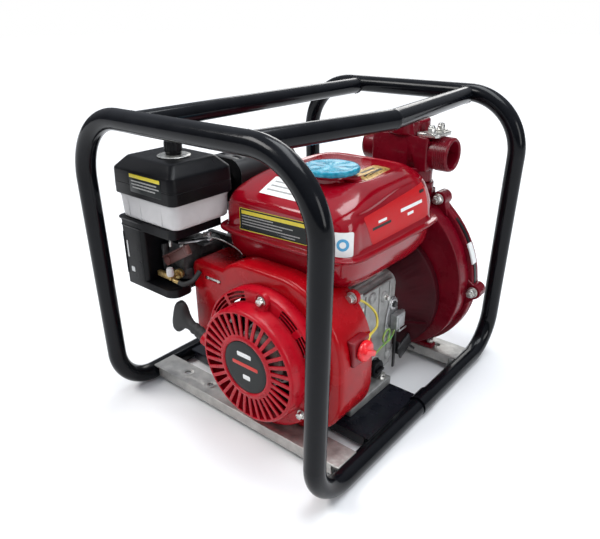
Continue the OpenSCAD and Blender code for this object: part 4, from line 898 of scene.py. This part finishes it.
def make_block():
    case = softened("crankcase", 1.6, 40, 3, 9)
    block(case, (112.4, -79, 40), (117.2, 44, 190), 2.2, 3)
    for y, z0, z1 in ((-66, 70, 182), (-34, 96, 186), (2, 120, 188), (30, 52, 188)):
        block(case, (115.5, y, z0), (119.4, y + 3.2, z1), 1.4, 2)
    for y, z in ((-52, 176), (-16, 178), (16, 168), (36, 60)):
        turned(case, [(0.3, 120.6), (7.2, 120.6), (8.2, 119.6), (9.6, 116)], (0, y, z), "X", 32)
    for y in OIL_CAPS_Y:
        turned(case, [(16.5, 121.2), (18.4, 121.2), (19.4, 120.2), (21, 116)], (0, y, 58), "X", 40)
    for i in range(5):
        block(case, (72 - 9 * i, -70, 195.2), (75 - 9 * i, 40, 200.5 - 0.4 * i), 1, 2)
    piece("crankcase_fine", case, "cast_grey", node="crankcase", smooth=32)

    cover = softened("pto_cover", 1.8, 40, 3, 3)
    for z in (52, 92, 132, 172):
        turned(cover, [(0.3, 58.2), (6, 58.2), (6.8, 57.4), (7.4, 46.4)], (104.5, 0, z), "Y", 28)
    piece("pto_cover_fine", cover, "cast_grey", node="pto_cover", smooth=32)
    bolts = bmesh.new()
    for z in (92, 132, 172):
        flange_bolt(bolts, (104.5, 58.2, z), (0, 1, 0))
    flange_bolt(bolts, (120.6, -52, 176), (1, 0, 0), 7, 4)
    flange_bolt(bolts, (120.6, 16, 168), (1, 0, 0), 7, 4)
    flange_bolt(bolts, (138.5, -99, 218), (0, -1, 0), 10, 6)
    for x, y in ((108, 54), (96, 78)):
        flange_bolt(bolts, (x, y, 226), (0.3, -0.2, -1), 9, 5)
    piece("block_bolts", bolts, "bright_bolts")


def make_switch():
    knob = bmesh.new()
    turned(knob, [(0.3, 173.5), (12.4, 173.5), (13.4, 174.2), (14, 176), (14, 178.6), (13.2, 181),
            (11, 182.6), (7, 183.3), (0.3, 183.4)], SWITCH, "X", 56)
    block(knob, (181, -12.2, -3.8), (186.9, 12.2, 3.8), 1.6, 3, placed(SWITCH, -28, "X"))
    for k in range(12):
        block(knob, (174.6, -1, 13.2), (180.2, 1, 14.2), 0.4, matrix=placed(SWITCH, 30 * k, "X"))
    piece("switch_cap", knob, "knob_red", "switch_knob", "stop_switch_knob", smooth=40)

    wire = bent([(131, -91, 209), (137, -84, 209), (141, -70, 200), (147, -58, 186), (152, -57, 176),
            (158, -66, 169), (165, -86, 172), (170, -100, 176), (172.6, -108, 174), (173, -112, 170)])
    piece("earth_wire", tube(bmesh.new(), wire, 1.7, 10), "wire_yellow", node="switch_wire", smooth=60)
    loop = bent([(171, -104, 156), (168, -92, 142), (160, -70, 128), (146, -36, 114), (136, -6, 104),
            (129, 14, 97), (126, 23, 101), (127, 22, 112), (129, 12, 118), (131, 0, 115),
            (131, -2, 106), (129, 8, 97), (126, 24, 93), (123, 40, 96), (121, 47, 103),
            (120.6, 49, 110)])
    piece("sensor_wire", tube(bmesh.new(), loop, 1.5, 10), "wire_green", node="oil_sensor_wire", smooth=60)


def make_oil_unit():
    plate = bmesh.new()
    outline = [(22, 96), (22, 118), (26, 136), (30, 150), (37, 158), (46, 158), (52, 151), (54, 140),
            (58, 128), (66, 120), (68, 104), (60, 96)]
    ring_loft(plate, [[(117.4, y, z) for y, z in outline], [(119.2, y, z) for y, z in outline],
            [(119.8, y + (41 - y) * 0.04, z + (126 - z) * 0.02) for y, z in outline]], True)
    block(plate, (119, 50, 96), (128, 52, 106), 0.6)
    block(plate, (127, 50, 96), (128.4, 72, 99), 0.4)
    turned(plate, [(5.4, 119.2), (9.4, 119.2), (10, 120), (10, 121.2), (9, 122), (5.4, 122), (5.4, 119.2)],
           (0, 41, 147), "X", 40)
    piece("sensor_plate", plate, "steel", node="low_oil_unit")
    unit = bmesh.new()
    block(unit, (119.4, 36, 106), (131.5, 60, 131), 1.8, 3)
    block(unit, (130.8, 39, 109), (132.2, 57, 128), 0.6, 2)
    block(unit, (121, 59, 110), (128, 66, 127), 1.2, 2)
    for z in (112, 119, 126):
        block(unit, (119.4, 60, z - 1.2), (125, 69, z + 1.2), 0.4)
    piece("sensor_box", unit, "die_cast")
    dark = bmesh.new()
    hexagon(dark, 9, 5, (120, 41, 147), (1, 0, 0))
    block(dark, (114.5, 56, 24), (117.5, 62, 112), 0.8)
    block(dark, (-2.2, -18, -13), (2.2, 18, 13), 1.4, 3, placed((120, 84, 53), 24, "X"))
    block(dark, (108, 66, 44), (121, 70, 66), 1.4)
    block(dark, (-2, -14, -2), (2, 14, 2), 0.9, 2, placed((122, 104, 43), -40, "X"))
    piece("cable_bracket", dark, "enamel_black")
    caps = softened("oil_filler_caps", 1.4, 40)
    for y in OIL_CAPS_Y:
        block(caps, (129, y - 9, 55.4), (134.5, y + 9, 60.6), 1.6, 3)
        for k in range(16):
            block(caps, (122.6, -1, 13.3), (128.6, 1, 14.7), 0.4, matrix=placed((0, y, 58), 22.5 * k, "X"))
    piece("oil_caps", caps, "black_plastic", node="oil_filler_caps")


make_block()
make_switch()
make_oil_unit()

# ---------- pump ----------

EARS = (7, 64, 122, 180, 226)


def rim_r(a):
    """Distance of the casing's rim from the shaft at angle a."""
    return 107 + 0.43 * (a + 90) if -90 <= a <= 75 else 112


def rim_band(name, slot, angles, faces, below, lift):
    """A band on the casing's rim between two faces, from below its surface up to lift(step)."""
    bm = bmesh.new()
    rings = []
    for k, a in enumerate(angles):
        rings.append([on_crank(rim_r(a) + lift(k), a, y) for y in faces])
        rings[-1] += [on_crank(rim_r(a) - below, a, y) for y in faces[::-1]]
    ring_loft(bm, rings, True)
    piece(name, bm, slot, smooth=40)


def make_pump():
    skin = softened("pump_adapter", 2.5, 20)
    for a in (20, 140, 260):
        rib = bmesh.new()
        ring_loft(rib, [[(69, 60.5, -1.6), (69, 62, 1.6), (103, 108, 1.6), (103, 106, -1.6)],
                [(69, 60.5, -1.6), (71.5, 60.5, 1.6), (106, 106, 1.6), (106, 104, -1.6)]], True)
        add(skin, rib, placed(CRANK, a, "Y"))
    for a in (25, 115, 205, 295):
        turned(skin, [(0.3, 113.6), (9, 113.6), (10.5, 115), (12, 118)], on_crank(94, a, 0), "Y", 32)
    # the adapter takes the maroon paint darkened with painted shade
    piece("adapter_fine", skin, "pump_maroon_painted_shade", node="pump_adapter", smooth=28)

    volute = softened("volute_casing", 2.2, 30, 3, 2)
    for a in EARS:
        r = rim_r(a) + 2 if a < 80 else 117
        base = r - 14 if a < 80 else 104
        outline = [(base, -26), (r + 1, -12.5), (r + 9, -8.5), (r + 12.4, -2), (r + 12.4, 2), (r + 9, 8.5),
                (r + 1, 12.5), (base, 26)]
        along = Vector((-sin(radians(a)), 0, cos(radians(a))))
        rings = [[Vector(on_crank((out - r) * s + r, a, y)) + along * across * s for out, across in outline]
                for y, s in ((154.2, 0.94), (155.4, 1), (166.8, 1), (168, 0.97))]
        ring_loft(volute, rings, True)
    piece("volute_fine", volute, "pump_maroon", node="volute_casing", smooth=28)

    cover = softened("rear_casing_cover", 2.2, 30, 3, 2)
    for k in range(8):
        block(cover, (40, 176, -2.2), (96, 183, 2.2), 1.6, matrix=placed(CRANK, 45 * k + 22, "Y"))
    for y in (227, 229, 231, 233, 235):
        turned(cover, [(24.9, y), (25.9, y + 0.6), (25.9, y + 1), (24.9, y + 1.6), (24.9, y)], CRANK, n=64)
    piece("rear_cover_fine", cover, "pump_maroon", node="rear_casing_cover", smooth=28)

    rim_band("rim_strip", "badge_black", [9 + 42 * k / 32 for k in range(33)], (159.5, 166.5), 0.6,
            lambda k: 0.5 + 0.9 * sin(pi * min(1, k / 5, (32 - k) / 5) / 2))
    rim_band("rim_tag", "label_white", range(24, 37), (156, 168.4), 0.3, lambda k: 1.9)


def make_manifold():
    body = softened("discharge_manifold", 3.2, 30, 4, 1.5)
    for x in (116 + 3.2 * k for k in range(7)):
        turned(body, [(24.7, x), (25.7, x + 0.9), (25.7, x + 1.5), (24.7, x + 2.4), (24.7, x)],
               (0, 156, 356), "X", 64)
    piece("manifold_fine", body, "pump_maroon", node="discharge_manifold", smooth=28)
    clamp = softened("outlet_clamp", 1.2, 40)
    for y in (141, 171):
        turned(clamp, [(0.3, 398.5), (4, 398.5), (4.6, 397.9), (4.6, 388)], (108, y, 0), "Z", 24)
        turned(clamp, [(4, 388), (10.5, 388), (10.5, 389.4), (4, 389.4)], (108, y, 0), "Z", 32)
    piece("clamp_fine", clamp, "bright_bolts", node="outlet_clamp")


make_pump()
make_manifold()

# ---------- frame, rope and grip ----------


def weld_bead(bm, centre, axis, radius):
    """An uneven ring of weld round a tube's end."""
    part = bmesh.new()
    thick, n, rings = 1.6, 72, []
    for i in range(n):
        a = 2 * pi * i / n
        r = thick * (1 + 0.22 * sin(19 * a) + 0.1 * sin(7 * a + 1))
        out = Vector((cos(a), sin(a), 0))
        rings.append([tuple(out * (radius + r * cos(b)) + Vector((0, 0, r * 0.9 * sin(b))))
                for b in (2 * pi * k / 8 for k in range(8))])
    ring_loft(part, rings + rings[:1])
    add(bm, part, frame_of((1, 0, 0.2), axis, centre))


def make_frame():
    beads = bmesh.new()
    for x, y, way in ((-94, -233, (0, 1, 0)), (-94, 233, (0, 1, 0)), (100.5, -233, (0.2, 1, 0)),
            (112.4, 233, (-0.11, 1, 0))):
        weld_bead(beads, (x, y, 433.5), way, 12.4)
    piece("weld_beads", beads, "frame_black", smooth=50)
    nuts = bmesh.new()
    for x in (-126, -73, 126):
        turned(nuts, [(4.6, 27), (4.6, 27.5), (9, 27.5), (9.6, 27.1)], (x, -167, 0), "Z", 32)
    piece("hole_rims", nuts, "galvanised", smooth=40)


def make_grip():
    side = Vector((0, 1, 0))
    over = ROPE_WAY.cross(side)

    def hoop_of(s, a, b, power):
        """A squarish ring about the rope's line, s from its exit."""
        ring = []
        for i in range(40):
            c, q = cos(2 * pi * i / 40), sin(2 * pi * i / 40)
            u = a * abs(c) ** (2 / power) * (1 if c >= 0 else -1)
            v = b * abs(q) ** (2 / power) * (1 if q >= 0 else -1)
            ring.append(ROPE_EXIT + ROPE_WAY * s + over * u + side * v)
        return ring

    grip = bmesh.new()
    rows = [(8, 5.2, 5.2), (8.4, 7.6, 7.4), (10, 8.8, 8.4), (14, 9, 8.8), (15.5, 8.1, 8), (19, 8, 7.8),
            (20.5, 8.9, 8.4), (24, 8.9, 8.4), (25.5, 7.8, 7.6), (29, 7.7, 7.4), (30.5, 8.6, 8.1),
            (34, 8.6, 8.1), (35.5, 7.4, 7.2),
            (42, 7.6, 7.2), (48, 9.6, 7.7), (53, 14.5, 8.4), (57, 21, 8.9), (60, 25.2, 9), (64, 27.3, 9),
            (68, 27.4, 8.9), (71, 26, 8.4), (73.6, 22.5, 7.2), (74.8, 17, 5), (75, 9, 3)]
    ring_loft(grip, [hoop_of(s, a, b, 2.2 if s < 45 else 2.9) for s, a, b in rows], True)
    piece("pull_grip", grip, "rubber_black", "grip", "starter_grip", smooth=50)

    # the stretch from `near` to `far` is what lengthens when the grip is pulled
    inner, near, far = -46, 7, 10
    stations = [inner + (near - inner) * k / 70 for k in range(70)]
    stations += [near + (far - near) * k / 50 for k in range(51)]
    rings = []
    for s in stations:
        ring = []
        for k in range(16):
            t = 2 * pi * k / 16
            r = 1.75 + 0.3 * abs(cos(1.5 * (t - 2 * pi * s / 5.6)))
            ring.append(ROPE_EXIT + ROPE_WAY * s + over * r * cos(t) + side * r * sin(t))
        rings.append(ring)
    rope = bmesh.new()
    ring_loft(rope, rings, True)
    cord = piece("pull_rope", rope, "rope", None, "starter_rope", smooth=60)
    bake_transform(cord)


make_frame()
make_grip()
piece("guard_fine", softened("muffler_guard", 0.7, 40, 2), "enamel_black", node="muffler_guard")
# nodes that need only their edges rounded, as the real parts' are: name, width and steps
for node, width, steps in (
        ("fuel_tap_lever", 0.8, 2), ("throttle_lever", 0.5, 2), ("stop_switch_body", 2.2, 3),
        ("cylinder_head", 0.7, 3), ("rocker_cover", 2.2, 3), ("engine_bolts", 0.5, 3),
        ("shroud_bolts", 0.5, 3), ("spark_plug_lead", 1.6, 3), ("muffler", 2.4, 3),
        ("governor_arm", 0.4, 3), ("starter_cup", 0.4, 3), ("cooling_fan", 0.3, 3), ("flywheel", 0.8, 3),
        ("pump_fasteners", 0.6, 2), ("front_cross_member", 0.9, 3), ("rear_cross_member", 0.9, 3),
        ("engine_tray", 0.9, 3)):
    piece(node + "_fine", softened(node, width, 28, steps), SLOTS[node], BODY_OF[node], node)

# ---------- finish ----------

for node, obj in NODES.items():
    if not obj.hide_render and node in SLOTS:
        obj.data.materials.clear()
        obj.data.materials.append(FINISH[SLOTS[node]])

set_stage()
